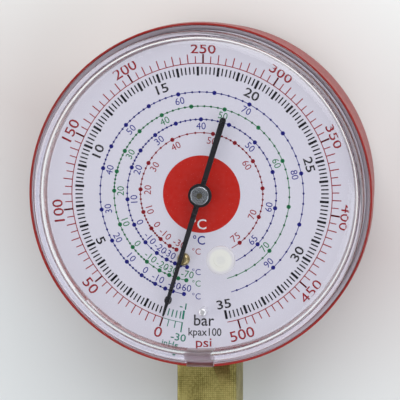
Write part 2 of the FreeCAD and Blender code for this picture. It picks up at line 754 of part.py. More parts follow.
def make_sector():
    """A toothed rim on two spokes, with a hub and a tail, turned to its place at rest."""
    teeth = int(s.sector_teeth.value)
    count = int(s.sector_cut_teeth.value)
    step = 2 * math.pi / teeth
    turn = round(math.radians(s.sector_rest_turn.value) / step)
    first = mesh_direction() + step / 2 - (turn + count / 2) * step
    if count % 2:
        first += step / 2
    edges = toothed_edges(teeth, count, first)
    pitch = teeth * s.gear_module.value / 2
    root = pitch - 1.25 * s.gear_module.value
    rim = root - s.sector_rim.value
    wide = tooth_half_angle(teeth, root)
    low, high = first - wide, first + (count - 1) * step + wide
    edges.append(Part.LineSegment(on_wheel(root, high), on_wheel(rim, high)).toShape())
    edges.append(Part.Arc(on_wheel(rim, high), on_wheel(rim, (low + high) / 2), on_wheel(rim, low)).toShape())
    edges.append(Part.LineSegment(on_wheel(rim, low), on_wheel(root, low)).toShape())
    shape = slab(edges, sector_back, sector_front)
    hub = s.staff_radius.value + s.sector_hub.value
    shape = shape.fuse(disc(hub, sector_back, sector_front))
    spoke_end = rim + s.sector_rim.value / 5
    for edge, lean in ((low, 1), (high, -1)):
        shape = shape.fuse(spoke(hub * 0.9, spoke_end, edge + lean * 0.03, edge + lean * 0.16))
    tail = math.atan2(tail_z.value - sector_z.value, tail_x.value - sector_x.value)
    arm, eye = s.tail_arm.value, s.tail_pin.value * 3
    shape = shape.fuse(spoke(hub * 0.8, arm, tail - eye * 0.9 / arm, tail + eye * 0.9 / arm))
    end = on_wheel(arm, tail)
    shape = shape.fuse(disc(eye, sector_back, sector_front, end.x, end.z))
    back, front = sector_back - PAST, sector_front + PAST
    shape = shape.cut(disc(s.staff_radius.value + s.fit_gap.value, back, front))
    shape = shape.cut(disc(s.tail_pin.value + s.fit_gap.value, back, front, end.x, end.z))
    return add_feature("sector_gear", shape.removeSplitter(), sector_x, sector_z)


def spoke(inner, outer, low, high):
    """A tapered arm between two radii; its inner end keeps the outer end's angles."""
    corners = [on_wheel(inner, low), on_wheel(outer, low), on_wheel(outer, high), on_wheel(inner, high)]
    edges = [Part.LineSegment(a, b).toShape() for a, b in zip(corners, corners[1:] + corners[:1])]
    return slab(edges, sector_back, sector_front)


def make_sector_arbor():
    body = new_body("sector_arbor", sector_x, 0, sector_z)
    foot = s.pad_front + s.end_play
    shoulder_back = plate_front + s.running_gap
    shoulder_front = top_back - s.running_gap
    revolve(body, [
        (foot, 0), (foot, s.pivot_radius), (shoulder_back, s.pivot_radius),
        (shoulder_back, s.staff_radius), (shoulder_front, s.staff_radius), (shoulder_front, s.pivot_radius),
        (top_front, s.pivot_radius), (top_front, 0),
    ])
    return body


def make_tail_pin():
    body = new_body("tail_pin", tail_x, 0, tail_z)
    head_front = link_back - s.end_play
    head_back = head_front - s.pin_head
    head = s.tail_pin * 2.4
    revolve(body, [
        (head_back, 0), (head_back, head), (head_front, head), (head_front, s.tail_pin),
        (sector_front, s.tail_pin), (sector_front, 0),
    ])
    return body


def make_pinion():
    """Leaves cut on the staff, which runs from the bottom plate to the pointer."""
    teeth = int(s.pinion_teeth.value)
    step = 2 * math.pi / teeth
    edges = toothed_edges(teeth, teeth, mesh_direction() + math.pi)
    pitch = teeth * s.gear_module.value / 2
    root = pitch - 1.25 * s.gear_module.value
    start = mesh_direction() + math.pi
    wide = tooth_half_angle(teeth, pitch * math.cos(math.radians(s.pressure_angle.value)))
    edges.append(Part.Arc(on_wheel(root, start - step + wide), on_wheel(root, start - step / 2),
                          on_wheel(root, start - wide)).toShape())
    shape = slab(edges, pinion_back, pinion_front)
    step_front = s.pointer_back - s.arbor_step
    shape = shape.fuse(disc(s.pivot_radius.value, s.pad_front + s.end_play, pinion_back + s.end_play))
    shape = shape.fuse(disc(s.arbor_radius.value, plate_front + s.running_gap, step_front))
    shape = shape.fuse(disc(s.arbor_tip.value, step_front - s.end_play, arbor_front))
    return add_feature("pinion", shape.removeSplitter())


# Hairspring with its collet and stud

def make_collet():
    body = new_body("hairspring_collet")
    inner = s.arbor_radius + s.fit_gap
    outer = s.spring_inner - s.spring_strip
    revolve(body, [(spring_back, inner), (spring_back, outer), (spring_front, outer), (spring_front, inner)])
    return body


def spring_end():
    """Distance of the spiral's last point from its centre."""
    return s.spring_inner + s.spring_pitch * s.spring_turns


def half_turns(start_radius, pitch, turns):
    """A spiral of half circles from the +X side on, each half a pitch larger than the last."""
    edges = []
    radius, side, centre = start_radius, 1, 0.0
    for half in range(2 * int(turns)):
        start = Vector(centre + side * radius, 0, 0)
        middle = Vector(centre, 0, side * radius)
        stop = Vector(centre - side * radius, 0, 0)
        edges.append(Part.Arc(start, middle, stop).toShape())
        radius += pitch / 2
        centre = stop.x + side * radius
        side = -side
    return edges, stop


def make_hairspring():
    half_strip = s.spring_strip.value / 2
    first, pitch, turns = s.spring_inner.value, s.spring_pitch.value, s.spring_turns.value
    inner, inner_end = half_turns(first - half_strip, pitch, turns)
    outer, outer_end = half_turns(first + half_strip, pitch, turns)
    starts = [edge.Vertexes[0].Point for edge in (inner[0], outer[0])]
    closing = [Part.LineSegment(*ends).toShape() for ends in (starts, (inner_end, outer_end))]
    return add_feature("hairspring", slab(inner + outer + closing, spring_back, spring_front))


# Plates, pillars and screws of the movement

def upper_corners():
    """Corners that both plates share, from beside the sector's staff round to the left."""
    margin = s.plate_margin
    left_x, left_z = LEFT_PILLAR
    right_x, right_z = RIGHT_PILLAR
    return [
        (sector_x + margin, sector_z - margin * 1.3),
        (sector_x + margin, sector_z + margin * 3),
        (right_x + margin, right_z - margin * 0.7),
        (right_x + margin, right_z + margin),
        (right_x - margin * 1.3, right_z + margin),
        (left_x + margin * 0.2, left_z + margin * 2),
        (left_x - margin, left_z + margin * 0.7),
        (left_x - margin, left_z - margin * 0.8),
    ]


def make_bottom_plate():
    body = new_body("movement_bottom_plate")
    side = (s.square - s.square_bevel) / 2
    foot = screw_z - s.plate_margin * 1.25
    corners = [(-side, foot), (side, foot), (side, s.plate_margin * 0.4 - s.block_top)]
    corners += upper_corners()
    corners += [(-side, s.plate_margin * 1.8 - s.block_top)]
    plate = front_pad(body, s.pad_front, plate_front, lambda sk: outline(sk, corners))
    round_edges(body, plate, s.plate_corner, lambda e: runs_along(e, Vector(0, 1, 0)))
    plate_holes(body, s.pad_front, plate_front, s.pivot_radius)
    for x, z in MOVEMENT_SCREWS:
        plate_hole(body, s.pad_front, plate_front, s.screw_radius + s.end_play, x, z)
    return body


def plate_hole(body, back, front, radius, x=0, z=0):
    front_pocket(body, back - PAST, front + PAST, lambda sk: ring(sk, radius, x, z))


def plate_holes(body, back, front, pinion_pivot):
    """Running holes for the two staffs."""
    plate_hole(body, back, front, pivot_hole, sector_x, sector_z)
    plate_hole(body, back, front, pinion_pivot + s.running_gap)


def make_top_plate():
    body = new_body("movement_top_plate")
    foot_x, foot_z = FOOT_PILLAR
    side, foot = s.plate_margin * 1.1, foot_z - s.plate_margin * 0.9
    corners = [(-side, foot), (side, foot)] + upper_corners()
    corners += [(LEFT_PILLAR[0] + s.plate_margin * 0.2, foot_z + s.plate_margin * 2.6)]
    plate = front_pad(body, top_back, top_front, lambda sk: outline(sk, corners))
    round_edges(body, plate, s.plate_corner, lambda e: runs_along(e, Vector(0, 1, 0)))
    plate_holes(body, top_back, top_front, s.arbor_radius)
    for x, z in PILLARS:
        plate_hole(body, top_back, top_front, s.plate_screw_radius + s.end_play, x, z)
    plate_hole(body, top_back, top_front, s.adjuster_shank + s.running_gap, *adjuster_place())
    plate_hole(body, top_back, top_front, stud_radius + s.fit_gap, *stud_place())
    return body


def stud_place():
    """The stud stands against the spring's last turn."""
    return spring_end() + stud_radius + s.spring_strip / 2, 0


def adjuster_place():
    return across(s.adjuster_offset, s.adjuster_angle), up(s.adjuster_offset, s.adjuster_angle)


def make_stud():
    body = new_body("hairspring_stud", stud_place()[0])
    revolve(body, [(spring_back, 0), (spring_back, stud_radius), (top_front, stud_radius), (top_front, 0)])
    return body


def make_pillars():
    pillars = []
    bore = s.plate_screw_radius + s.running_gap
    bore_floor = top_back - s.plate_screw_depth - s.end_play * 2
    for number, (x, z) in enumerate(PILLARS, 1):
        body = new_body(f"pillar_{number}", x, 0, z)
        revolve(body, [
            (plate_front, 0), (plate_front, s.pillar_radius), (top_back, s.pillar_radius), (top_back, bore),
            (bore_floor, bore), (bore_floor, 0),
        ])
        pillars.append(body)
    return group("movement_pillars", pillars)


def make_screws(label, places, seat, *sizes, **options):
    members = []
    for number, (x, z) in enumerate(places, 1):
        members.append(screw(f"{label}_{number}", x, z, seat, *sizes, **options))
    return group(label, members)


# Dial and what stands on it

def make_dial():
    body = new_body("dial")
    stop = across(s.stop_offset, s.stop_angle), up(s.stop_offset, s.stop_angle)
    front_pad(body, s.seat_front, dial_front, lambda sk: ring(sk, dial_radius))
    for radius, place in (
        (s.arbor_radius * 2, (0, 0)),
        (s.adjuster_shank + s.end_play, adjuster_place()),
        (s.stop_foot + s.fit_gap, stop),
    ):
        plate_hole(body, s.seat_front, dial_front, radius, *place)
    return body


def make_stop_pin():
    body = new_body("stop_pin", across(s.stop_offset, s.stop_angle), 0, up(s.stop_offset, s.stop_angle))
    rivet = s.seat_front - s.stop_rivet
    end = pointer_front + s.stop_rise
    revolve(body, [
        (rivet, 0), (rivet, s.stop_radius), (s.seat_front, s.stop_radius), (s.seat_front, s.stop_foot),
        (dial_front, s.stop_foot), (dial_front, s.stop_radius), (end, s.stop_radius, s.stop_radius * 0.5),
        (end, 0),
    ])
    return body


def make_adjuster():
    x, z = adjuster_place()
    seat = dial_front + s.end_play
    return screw("calibration_screw", x, z, seat, s.adjuster_radius, s.adjuster_head, s.adjuster_shank,
                 seat - top_back - s.end_play, turn=s.pointer_angle + 90)


def make_gasket():
    body = new_body("gasket")
    outer = lens_radius
    front = gasket_front - s.running_gap
    inner = outer - s.gasket_width
    revolve(body, [(dial_front, inner), (dial_front, outer), (front, outer), (front, inner)])
    front_pocket(body, dial_front - PAST, front + PAST, lambda sk: outline(sk, key_notch()))
    return body


# Pointer and its hub

def make_pointer():
    """A tapered needle with a round hub and a counterweight tail that widens to its end."""
    body = new_body("pointer", turn=s.pointer_angle)
    shoulder = s.pointer_reach - s.pointer_taper
    needle = [
        (-s.pointer_root, 0), (-s.pointer_neck, -shoulder), (-s.pointer_point, -s.pointer_reach),
        (s.pointer_point, -s.pointer_reach), (s.pointer_neck, -shoulder), (s.pointer_root, 0),
    ]
    end = s.pointer_tail - s.tail_round
    tail = [(-s.tail_root, 0), (s.tail_root, 0), (s.tail_round, end), (-s.tail_round, end)]
    front_pad(body, s.pointer_back, pointer_front, lambda sk: outline(sk, needle))
    front_pad(body, s.pointer_back, pointer_front, lambda sk: outline(sk, tail))
    front_pad(body, s.pointer_back, pointer_front, lambda sk: ring(sk, s.tail_round, 0, end))
    front_pad(body, s.pointer_back, pointer_front, lambda sk: ring(sk, s.pointer_hub))
    plate_hole(body, s.pointer_back, pointer_front, s.bushing_barrel + s.fit_gap)
    return body


def make_bushing():
    body = new_body("pointer_bushing")
    bore = s.arbor_tip + s.fit_gap
    foot = s.pointer_back - s.arbor_step + s.end_play
    cap_front = pointer_front + s.bushing_cap
    revolve(body, [
        (foot, bore), (foot, s.bushing_barrel), (pointer_front, s.bushing_barrel),
        (pointer_front, s.bushing_radius), (cap_front, s.bushing_radius, s.bushing_cap * 0.4),
        (cap_front, bore),
    ])
    return body


# Lens and its plug

def make_lens():
    body = new_body("lens")
    flange_front = s.rim_front - s.flange_sink
    revolve(body, [
        (gasket_front, skirt_inner), (window_back, skirt_inner, s.inner_shoulder), (window_back, 0),
        (s.lens_front, 0), (s.lens_front, lens_radius, s.lens_shoulder), (flange_front, lens_radius),
        (flange_front, skirt_radius), (gasket_front, skirt_radius),
    ])
    half = s.key_width / 2
    key = box_corners(-half, half, -s.rim_radius, -skirt_inner)
    front_pad(body, dial_front + s.running_gap, s.rim_front, lambda sk: outline(sk, key))
    for angle in NIB_ANGLES:
        add_nib(body, angle)
    x, z = across(s.plug_offset, s.plug_angle), up(s.plug_offset, s.plug_angle)
    plate_hole(body, window_back, s.lens_front, s.plug_barrel, x, z)
    return body


def add_nib(body, angle):
    """A low snap nib on the skirt, which spans a few degrees about the dial's axis."""
    sweep = s.nib_length / skirt_radius * (180 / math.pi)
    sketch = new_sketch(body, "YZ_Plane")
    start = as_size(angle) - sweep / 2
    sketch.AttachmentOffset = Placement(Vector(), Rotation(Vector(1, 0, 0), start.value))
    bind(sketch, "AttachmentOffset.Rotation.Angle", start)
    back = gasket_front + s.nib_back
    outline(sketch, box_corners(-(back + s.nib_width), -back, -(skirt_radius + s.nib_rise),
                                -(skirt_radius - s.nib_rise * 2)))
    feature = body.newObject("PartDesign::Revolution", "lens_nib")
    feature.Profile = sketch
    feature.ReferenceAxis = (sketch, ["H_Axis"])
    bind(feature, "Angle", sweep)


def make_plug():
    x, z = across(s.plug_offset, s.plug_angle), up(s.plug_offset, s.plug_angle)
    body = new_body("lens_plug", x, s.lens_front, z)
    barrel = s.plug_barrel - s.running_gap
    seat = s.running_gap
    foot = -(s.lens_window + s.plug_foot)
    dimple = s.plug_head - s.plug_dimple
    floor = dimple - s.plug_floor
    revolve(body, [
        (floor, 0), (floor, s.plug_hollow), (foot, s.plug_hollow), (foot, barrel), (seat, barrel),
        (seat, s.plug_radius), (s.plug_head, s.plug_radius, s.plug_head * 0.44),
        (s.plug_head, s.plug_hollow), (dimple, s.plug_hollow), (dimple, 0),
    ])
    return body


PIECES = [
    make_case(), make_socket(), make_restrictor(), make_tube(), make_tube_tip(), make_tip_screw(),
    make_link(), make_sector(), make_sector_arbor(), make_tail_pin(), make_pinion(), make_collet(),
    make_hairspring(), make_stud(), make_bottom_plate(), make_top_plate(), make_pillars(),
    make_screws("plate_screws", PILLARS, top_front, s.plate_screw_head, s.plate_screw_height,
                s.plate_screw_radius, s.top_thickness + s.plate_screw_depth),
    make_screws("movement_screws", MOVEMENT_SCREWS, plate_front, s.movement_screw_head,
                s.movement_screw_height, s.screw_radius, s.plate_thickness + s.screw_depth),
    make_screws("case_screws", CASE_SCREWS, -s.case_depth, s.case_screw_head, s.case_screw_height,
                s.case_screw_radius, s.sheet + s.screw_depth, rearward=True),
    make_dial(), make_stop_pin(), make_adjuster(), make_pointer(), make_bushing(), make_gasket(), make_lens(),
    make_plug(),
]

doc.recompute()
for thing in doc.Objects:
    if "Invalid" in thing.State or "Error" in thing.State:
        raise RuntimeError(f"{thing.Label} failed: {thing.State}")

os.makedirs("parts", exist_ok=True)
for piece in PIECES:
    if piece.Shape.isNull() or not piece.Shape.isValid():
        raise RuntimeError(f"{piece.Label} has no valid shape")
    piece.Shape.exportStep(os.path.join("parts", piece.Label + ".step"))
    print(piece.Label, len(piece.Shape.Solids), round(piece.Shape.Volume, 2))
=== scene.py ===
# %% [markdown]
# # A pressure gauge, dressed from its solid parts
#
# The gauge comes in as exact solids: a steel case, a brass socket, a movement, a dial, a pointer
# and a clear lens. They stay where they are. This file gives each of them its finish, prints
# the dial, cuts the stem's thread and sets up the camera and the light. Everything is in metres,
# with the dial facing -Y and Z up.

# %% Load the gauge
import math

import bpy
from mathutils import Matrix, Vector


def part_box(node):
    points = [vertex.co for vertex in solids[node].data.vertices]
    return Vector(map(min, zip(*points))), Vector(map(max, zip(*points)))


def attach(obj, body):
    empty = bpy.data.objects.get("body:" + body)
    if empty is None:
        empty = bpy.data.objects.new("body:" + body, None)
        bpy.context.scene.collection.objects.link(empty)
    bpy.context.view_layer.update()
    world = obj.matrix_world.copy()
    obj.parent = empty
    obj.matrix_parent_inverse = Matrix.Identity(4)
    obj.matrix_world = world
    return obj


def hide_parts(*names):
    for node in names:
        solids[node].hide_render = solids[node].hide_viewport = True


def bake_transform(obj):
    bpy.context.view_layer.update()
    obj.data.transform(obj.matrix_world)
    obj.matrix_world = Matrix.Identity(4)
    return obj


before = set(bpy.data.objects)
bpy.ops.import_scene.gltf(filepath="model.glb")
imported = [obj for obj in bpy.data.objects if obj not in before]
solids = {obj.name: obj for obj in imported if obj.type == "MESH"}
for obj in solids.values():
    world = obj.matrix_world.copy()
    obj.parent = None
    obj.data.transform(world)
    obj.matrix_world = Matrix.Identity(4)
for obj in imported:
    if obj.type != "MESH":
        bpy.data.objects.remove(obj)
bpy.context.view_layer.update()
MM = 0.001

# %% [markdown]
# ## Places on the dial
#
# A dial is laid out in polar form: a radius and an angle. Here the angle runs clockwise from
# straight down, as the reader sees it, because that is the way the scale rises. One function
# turns such a place into a point on the dial's front face.

# %% Dial places
dial_low, dial_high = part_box("dial")
dial_centre = (dial_low + dial_high) / 2
dial_face = dial_low.y
INK = 0.015 * MM


def dial_point(radius, angle):
    """The point of the dial's face at a radius in millimetres and a dial angle in degrees."""
    turn = math.radians(angle)
    return Vector((dial_centre.x - radius * MM * math.sin(turn), dial_face,
                   dial_centre.z - radius * MM * math.cos(turn)))


print("dial centre", dial_centre, "face at", dial_face)

# %% [markdown]
# ## Working by hand
#
# Operators act on whatever is selected, so each step starts from an empty selection. A printed
# mark is modelled flat on the dial's face and then gets the thickness of a film of ink with a
# Solidify modifier, which keeps it closed and visible from the side.

# %% Small helpers
SMOOTH_ANGLE = math.radians(25)


def deselect():
    """Starts a step from an empty selection."""
    bpy.ops.object.select_all(action="DESELECT")


def add_object(name, data):
    """An object that carries some data, in the scene."""
    made = bpy.data.objects.new(name, data)
    bpy.context.scene.collection.objects.link(made)
    return made


def only(piece):
    """Selects one object and makes it the active one."""
    deselect()
    piece.select_set(True)
    bpy.context.view_layer.objects.active = piece
    return piece


def settle(piece):
    """Puts a piece's place into its mesh, so that its object sits at the origin."""
    only(piece)
    bpy.ops.object.transform_apply(location=True, rotation=True, scale=True)
    return piece


def apply_modifier(piece, kind, **settings):
    """Adds a modifier with its settings and makes its result the piece's mesh."""
    only(piece)
    modifier = piece.modifiers.new(kind.title(), kind)
    for name, value in settings.items():
        setattr(modifier, name, value)
    bpy.ops.object.modifier_apply(modifier=modifier.name)


def join(pieces, name):
    """Makes several pieces one, under a new name."""
    deselect()
    for piece in pieces:
        piece.select_set(True)
    bpy.context.view_layer.objects.active = pieces[0]
    bpy.ops.object.join()
    pieces[0].name = pieces[0].data.name = name
    return pieces[0]


def face_reader(piece):
    """Turns every face of a flat mark towards the reader."""
    for polygon in piece.data.polygons:
        if polygon.normal.y > 0:
            polygon.flip()


def ink_on(piece, material, layer=1):
    """Gives a flat mark its film of ink, on the given layer of print."""
    face_reader(piece)
    apply_modifier(piece, "SOLIDIFY", thickness=INK * layer, offset=1)
    piece.data.materials.clear()
    piece.data.materials.append(material)
    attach(piece, "case_body")
    return piece


# %% [markdown]
# ## Finishes
#
# Each finish is a small node tree on Object coordinates, so its pattern keeps its real size and
# stays on the piece. Three patterns do most of the work: a slow noise that drifts the colour, a
# fine noise that breaks up the gloss, and a bump for the grain.

# %% Finish helpers
NOISE_LOW, NOISE_HIGH = 0.3, 0.7    # nearly all of a noise lies between these


def tree_of(material):
    """The nodes and the links of a finish."""
    return material.node_tree.nodes, material.node_tree.links


def shader_of(material):
    """The shader that a finish is built on."""
    return material.node_tree.nodes["Principled BSDF"]


def preset(node, values):
    """Writes plain values into a node's entries."""
    for name, value in values.items():
        node.inputs[name].default_value = value


def feed(material, pattern, entry):
    """Lets a pattern drive one entry of the shader."""
    tree_of(material)[1].new(pattern, shader_of(material).inputs[entry])


def finish(name, colour, roughness, metallic=0.0, coat=0.0):
    """A plain finish to build on: the shader and its tree."""
    material = bpy.data.materials.new(name)
    material.use_nodes = True
    preset(shader_of(material), {
        "Base Color": (*colour, 1), "Roughness": roughness, "Metallic": metallic,
        "Coat Weight": coat, "Coat Roughness": 0.08,
    })
    return material


def place_node(material, stretch=(1, 1, 1), centre=(0, 0, 0)):
    """Object coordinates, stretched for grain that runs one way, or moved to a centre."""
    nodes, links = tree_of(material)
    where = nodes.new("ShaderNodeTexCoord")
    mapping = nodes.new("ShaderNodeMapping")
    preset(mapping, {"Scale": stretch, "Location": centre})
    links.new(where.outputs["Object"], mapping.inputs["Vector"])
    return mapping.outputs["Vector"]


def noise(material, scale, detail=3.0, stretch=(1, 1, 1)):
    """Cloudy noise, with about so many lumps to the metre."""
    nodes, links = tree_of(material)
    pattern = nodes.new("ShaderNodeTexNoise")
    preset(pattern, {"Scale": scale, "Detail": detail})
    links.new(place_node(material, stretch), pattern.inputs["Vector"])
    return pattern.outputs["Fac"]


def drift_colour(material, pattern, stops):
    """Colours along a ramp, read by a pattern."""
    nodes, links = tree_of(material)
    ramp = nodes.new("ShaderNodeValToRGB")
    while len(ramp.color_ramp.elements) < len(stops):
        ramp.color_ramp.elements.new(0.5)
    for element, (at, colour) in zip(ramp.color_ramp.elements, stops):
        element.position = at
        element.color = (*colour, 1)
    links.new(pattern, ramp.inputs["Fac"])
    feed(material, ramp.outputs["Color"], "Base Color")


def shades(material, pattern, dark, light):
    """Two shades over the middle of a noise's range."""
    drift_colour(material, pattern, [(NOISE_LOW, dark), (NOISE_HIGH, light)])


def calculate(material, operation, *values):
    """The result of a named operation on patterns and plain numbers."""
    nodes, links = tree_of(material)
    step = nodes.new("ShaderNodeMath")
    step.operation = operation
    for entry, value in zip(step.inputs, values):
        if isinstance(value, (int, float)):
            entry.default_value = value
        else:
            links.new(value, entry)
    return step.outputs["Value"]


def rescale(material, pattern, low, high, to_low=0.0, to_high=1.0):
    """A pattern taken from one range to another, and held within it."""
    nodes, links = tree_of(material)
    spread = nodes.new("ShaderNodeMapRange")
    preset(spread, {"From Min": low, "From Max": high, "To Min": to_low, "To Max": to_high})
    links.new(pattern, spread.inputs["Value"])
    return spread.outputs["Result"]


def drift_gloss(material, pattern, low, high):
    """Roughness between two values, read by a pattern."""
    feed(material, rescale(material, pattern, NOISE_LOW, NOISE_HIGH, low, high), "Roughness")


def grain(material, pattern, height, strength=1.0):
    """Bump of a pattern, with its height in millimetres."""
    nodes, links = tree_of(material)
    bump = nodes.new("ShaderNodeBump")
    preset(bump, {"Strength": strength, "Distance": height * MM})
    links.new(pattern, bump.inputs["Height"])
    feed(material, bump.outputs["Normal"], "Normal")


def dress(material, *names):
    """Gives the named solids their finish."""
    for name in names:
        solids[name].data.materials.clear()
        solids[name].data.materials.append(material)


# %% [markdown]
# ## Case: red paint on drawn steel
#
# The case is sprayed and baked: a deep, slightly dull red with a thin coat of gloss and a faint
# orange-peel ripple about a millimetre across.

# %% Case paint
red_paint = finish("red_paint", (0.25, 0.010, 0.008), 0.45, coat=0.15)
preset(shader_of(red_paint), {"Specular IOR Level": 0.3})
shades(red_paint, noise(red_paint, 60), (0.22, 0.008, 0.006), (0.28, 0.012, 0.010))
drift_gloss(red_paint, noise(red_paint, 900), 0.4, 0.52)
grain(red_paint, noise(red_paint, 1100, 1), 0.008)
dress(red_paint, "case")

# %% [markdown]
# ## Socket: milled brass bar
#
# The square keeps the skin of the drawn bar: dull olive yellow with darker flecks and a fine
# cross-hatched grain from the wire brush. Two noises at different sizes give the flecks, and two
# sets of waves across each other, kept low, give the brushing.

# %% Socket brass
bar_brass = finish("bar_brass", (0.30, 0.25, 0.10), 0.45, metallic=0.8)


def crossed_waves(material, scale):
    """Two sets of fine lines across each other, as a wire brush leaves them."""
    nodes, links = tree_of(material)
    heights = []
    for direction in ("X", "Z"):
        wave = nodes.new("ShaderNodeTexWave")
        wave.bands_direction = direction
        preset(wave, {"Scale": scale, "Distortion": 1.2, "Detail": 3, "Detail Scale": 2})
        links.new(place_node(material), wave.inputs["Vector"])
        heights.append(wave.outputs["Fac"])
    return calculate(material, "MULTIPLY", *heights)


def mixed(material, first, second, share):
    """Two patterns blended, with the given share of the second."""
    nodes, links = tree_of(material)
    blend = nodes.new("ShaderNodeMix")
    blend.inputs["Factor"].default_value = share
    links.new(first, blend.inputs["A"])
    links.new(second, blend.inputs["B"])
    return blend.outputs["Result"]


brushing = crossed_waves(bar_brass, 640)
flecks = mixed(bar_brass, noise(bar_brass, 1700, 4), noise(bar_brass, 140, 2), 0.6)
drift_colour(bar_brass, mixed(bar_brass, flecks, brushing, 0.17), [
    (0.34, (0.17, 0.145, 0.042)), (0.47, (0.31, 0.27, 0.086)), (0.60, (0.44, 0.39, 0.148)),
])
drift_gloss(bar_brass, noise(bar_brass, 2600, 4), 0.38, 0.58)
grain(bar_brass, brushing, 0.006, 0.35)
dress(bar_brass, "socket")

# %% [markdown]
# ## Movement: turned and stamped brass, steel and bronze
#
# The parts inside are small and clean. Plates are stamped from rolled sheet, so their grain runs
# one way. Staffs and screws are turned, and the tube is drawn bronze, a shade redder than brass.
# The pinion's staff is finished near black, because its end shows dark in the middle of the hub.

# %% Metals of the movement
clean_brass = finish("clean_brass", (0.62, 0.47, 0.17), 0.3, metallic=1.0)
shades(clean_brass, noise(clean_brass, 260, 4), (0.55, 0.41, 0.14), (0.68, 0.53, 0.21))
grain(clean_brass, noise(clean_brass, 900, 3, (1, 1, 12)), 0.01, 0.6)
dress(clean_brass, "tube_tip", "sector_gear", "hairspring_collet", "movement_bottom_plate",
      "movement_top_plate", "movement_pillars", "port_restrictor")

staff_brass = finish("staff_brass", (0.03, 0.025, 0.012), 0.5, metallic=0.2)
shades(staff_brass, noise(staff_brass, 900, 3), (0.02, 0.017, 0.008), (0.045, 0.036, 0.014))
dress(staff_brass, "pinion")

screw_brass = finish("screw_brass", (0.36, 0.29, 0.14), 0.34, metallic=0.9)
shades(screw_brass, noise(screw_brass, 1200, 3), (0.30, 0.24, 0.11), (0.43, 0.35, 0.18))
drift_gloss(screw_brass, noise(screw_brass, 2500), 0.28, 0.42)
dress(screw_brass, "calibration_screw")

tube_bronze = finish("tube_bronze", (0.52, 0.31, 0.14), 0.33, metallic=1.0)
shades(tube_bronze, noise(tube_bronze, 150, 4), (0.42, 0.24, 0.11), (0.60, 0.37, 0.18))
grain(tube_bronze, noise(tube_bronze, 1400, 2), 0.006)
dress(tube_bronze, "bourdon_tube")

bright_steel = finish("bright_steel", (0.58, 0.58, 0.60), 0.28, metallic=1.0)
shades(bright_steel, noise(bright_steel, 600, 3), (0.50, 0.50, 0.52), (0.66, 0.66, 0.68))
drift_gloss(bright_steel, noise(bright_steel, 2400, 2), 0.2, 0.36)
dress(bright_steel, "tip_screw", "link", "sector_arbor", "tail_pin", "hairspring_stud",
      "plate_screws", "movement_screws", "hairspring")

zinc_steel = finish("zinc_steel", (0.60, 0.61, 0.60), 0.36, metallic=1.0)
shades(zinc_steel, noise(zinc_steel, 420, 5), (0.50, 0.51, 0.48), (0.68, 0.69, 0.69))
grain(zinc_steel, noise(zinc_steel, 2600, 2), 0.006)
dress(zinc_steel, "case_screws")

# %% [markdown]
# ## Pointer and hub
#
# The needle is a blanked strip of aluminium, painted satin black. Its hub is a turned cap with a
# bluish bright face that the light catches in rings, and the staff's end shows in its middle.

# %% Pointer and hub finishes
needle_black = finish("needle_black", (0.004, 0.004, 0.006), 0.28)
drift_gloss(needle_black, noise(needle_black, 400), 0.26, 0.32)
dress(needle_black, "pointer")

turned_silver = finish("turned_silver", (0.33, 0.355, 0.38), 0.26, metallic=1.0)
shades(turned_silver, noise(turned_silver, 700, 5), (0.24, 0.265, 0.285), (0.42, 0.445, 0.475))


def turning_rings(material, scale):
    """Fine rings about the dial's axis, as a lathe tool leaves them."""
    nodes, links = tree_of(material)
    wave = nodes.new("ShaderNodeTexWave")
    wave.wave_type = "RINGS"
    wave.rings_direction = "Y"
    preset(wave, {"Scale": scale, "Distortion": 0.6})
    centre = (-dial_centre.x, 0, -dial_centre.z)
    links.new(place_node(material, centre=centre), wave.inputs["Vector"])
    return wave.outputs["Fac"]


grain(turned_silver, turning_rings(turned_silver, 900), 0.01, 0.5)
dress(turned_silver, "pointer_bushing")

# %% [markdown]
# ## Dial sheet, stop pin and gasket
#
# The dial is aluminium sheet with a white enamel that leans to lilac. It is not quite even, so a
# slow noise moves its colour by a few percent. The stop pin is a polished aluminium rivet with a
# domed end. The gasket's colour is painted light and shade. The ring is made pale to lighten the
# shade that the case's front wall casts on it. It is dark only at its outer edge, a painted shadow
# of the gap between the lens and the case's wall. A share that rises with the radius gives it
# that edge.

# %% Dial, pin and gasket finishes
dial_enamel = finish("dial_enamel", (0.61, 0.60, 0.675), 0.30)
drift_colour(dial_enamel, noise(dial_enamel, 22, 2), [
    (0.25, (0.595, 0.585, 0.66)), (0.75, (0.63, 0.62, 0.695)),
])
grain(dial_enamel, noise(dial_enamel, 1600, 2), 0.003)
dress(dial_enamel, "dial")

bright_post = finish("bright_post", (0.82, 0.82, 0.84), 0.18, metallic=0.6)
drift_gloss(bright_post, noise(bright_post, 1500), 0.14, 0.26)
dress(bright_post, "stop_pin")

SHADOW_EDGE_FROM, SHADOW_EDGE_TO = 37.2, 38.4    # radii between which the gasket's share rises


def radius_share(material, inner, outer, centre):
    """0 to 1 between two radii in millimetres about an axis that runs out of the dial."""
    nodes, links = tree_of(material)
    flat = nodes.new("ShaderNodeVectorMath")
    flat.operation = "MULTIPLY"
    flat.inputs[1].default_value = (1, 0, 1)
    links.new(place_node(material, centre=(-centre.x, 0, -centre.z)), flat.inputs[0])
    length = nodes.new("ShaderNodeVectorMath")
    length.operation = "LENGTH"
    links.new(flat.outputs["Vector"], length.inputs[0])
    return rescale(material, length.outputs["Value"], inner * MM, outer * MM)


rubber_painted_light_and_shade = finish("rubber_painted_light_and_shade", (0.72, 0.70, 0.80), 0.55)
painted_shadow_share = radius_share(rubber_painted_light_and_shade, SHADOW_EDGE_FROM, SHADOW_EDGE_TO, dial_centre)
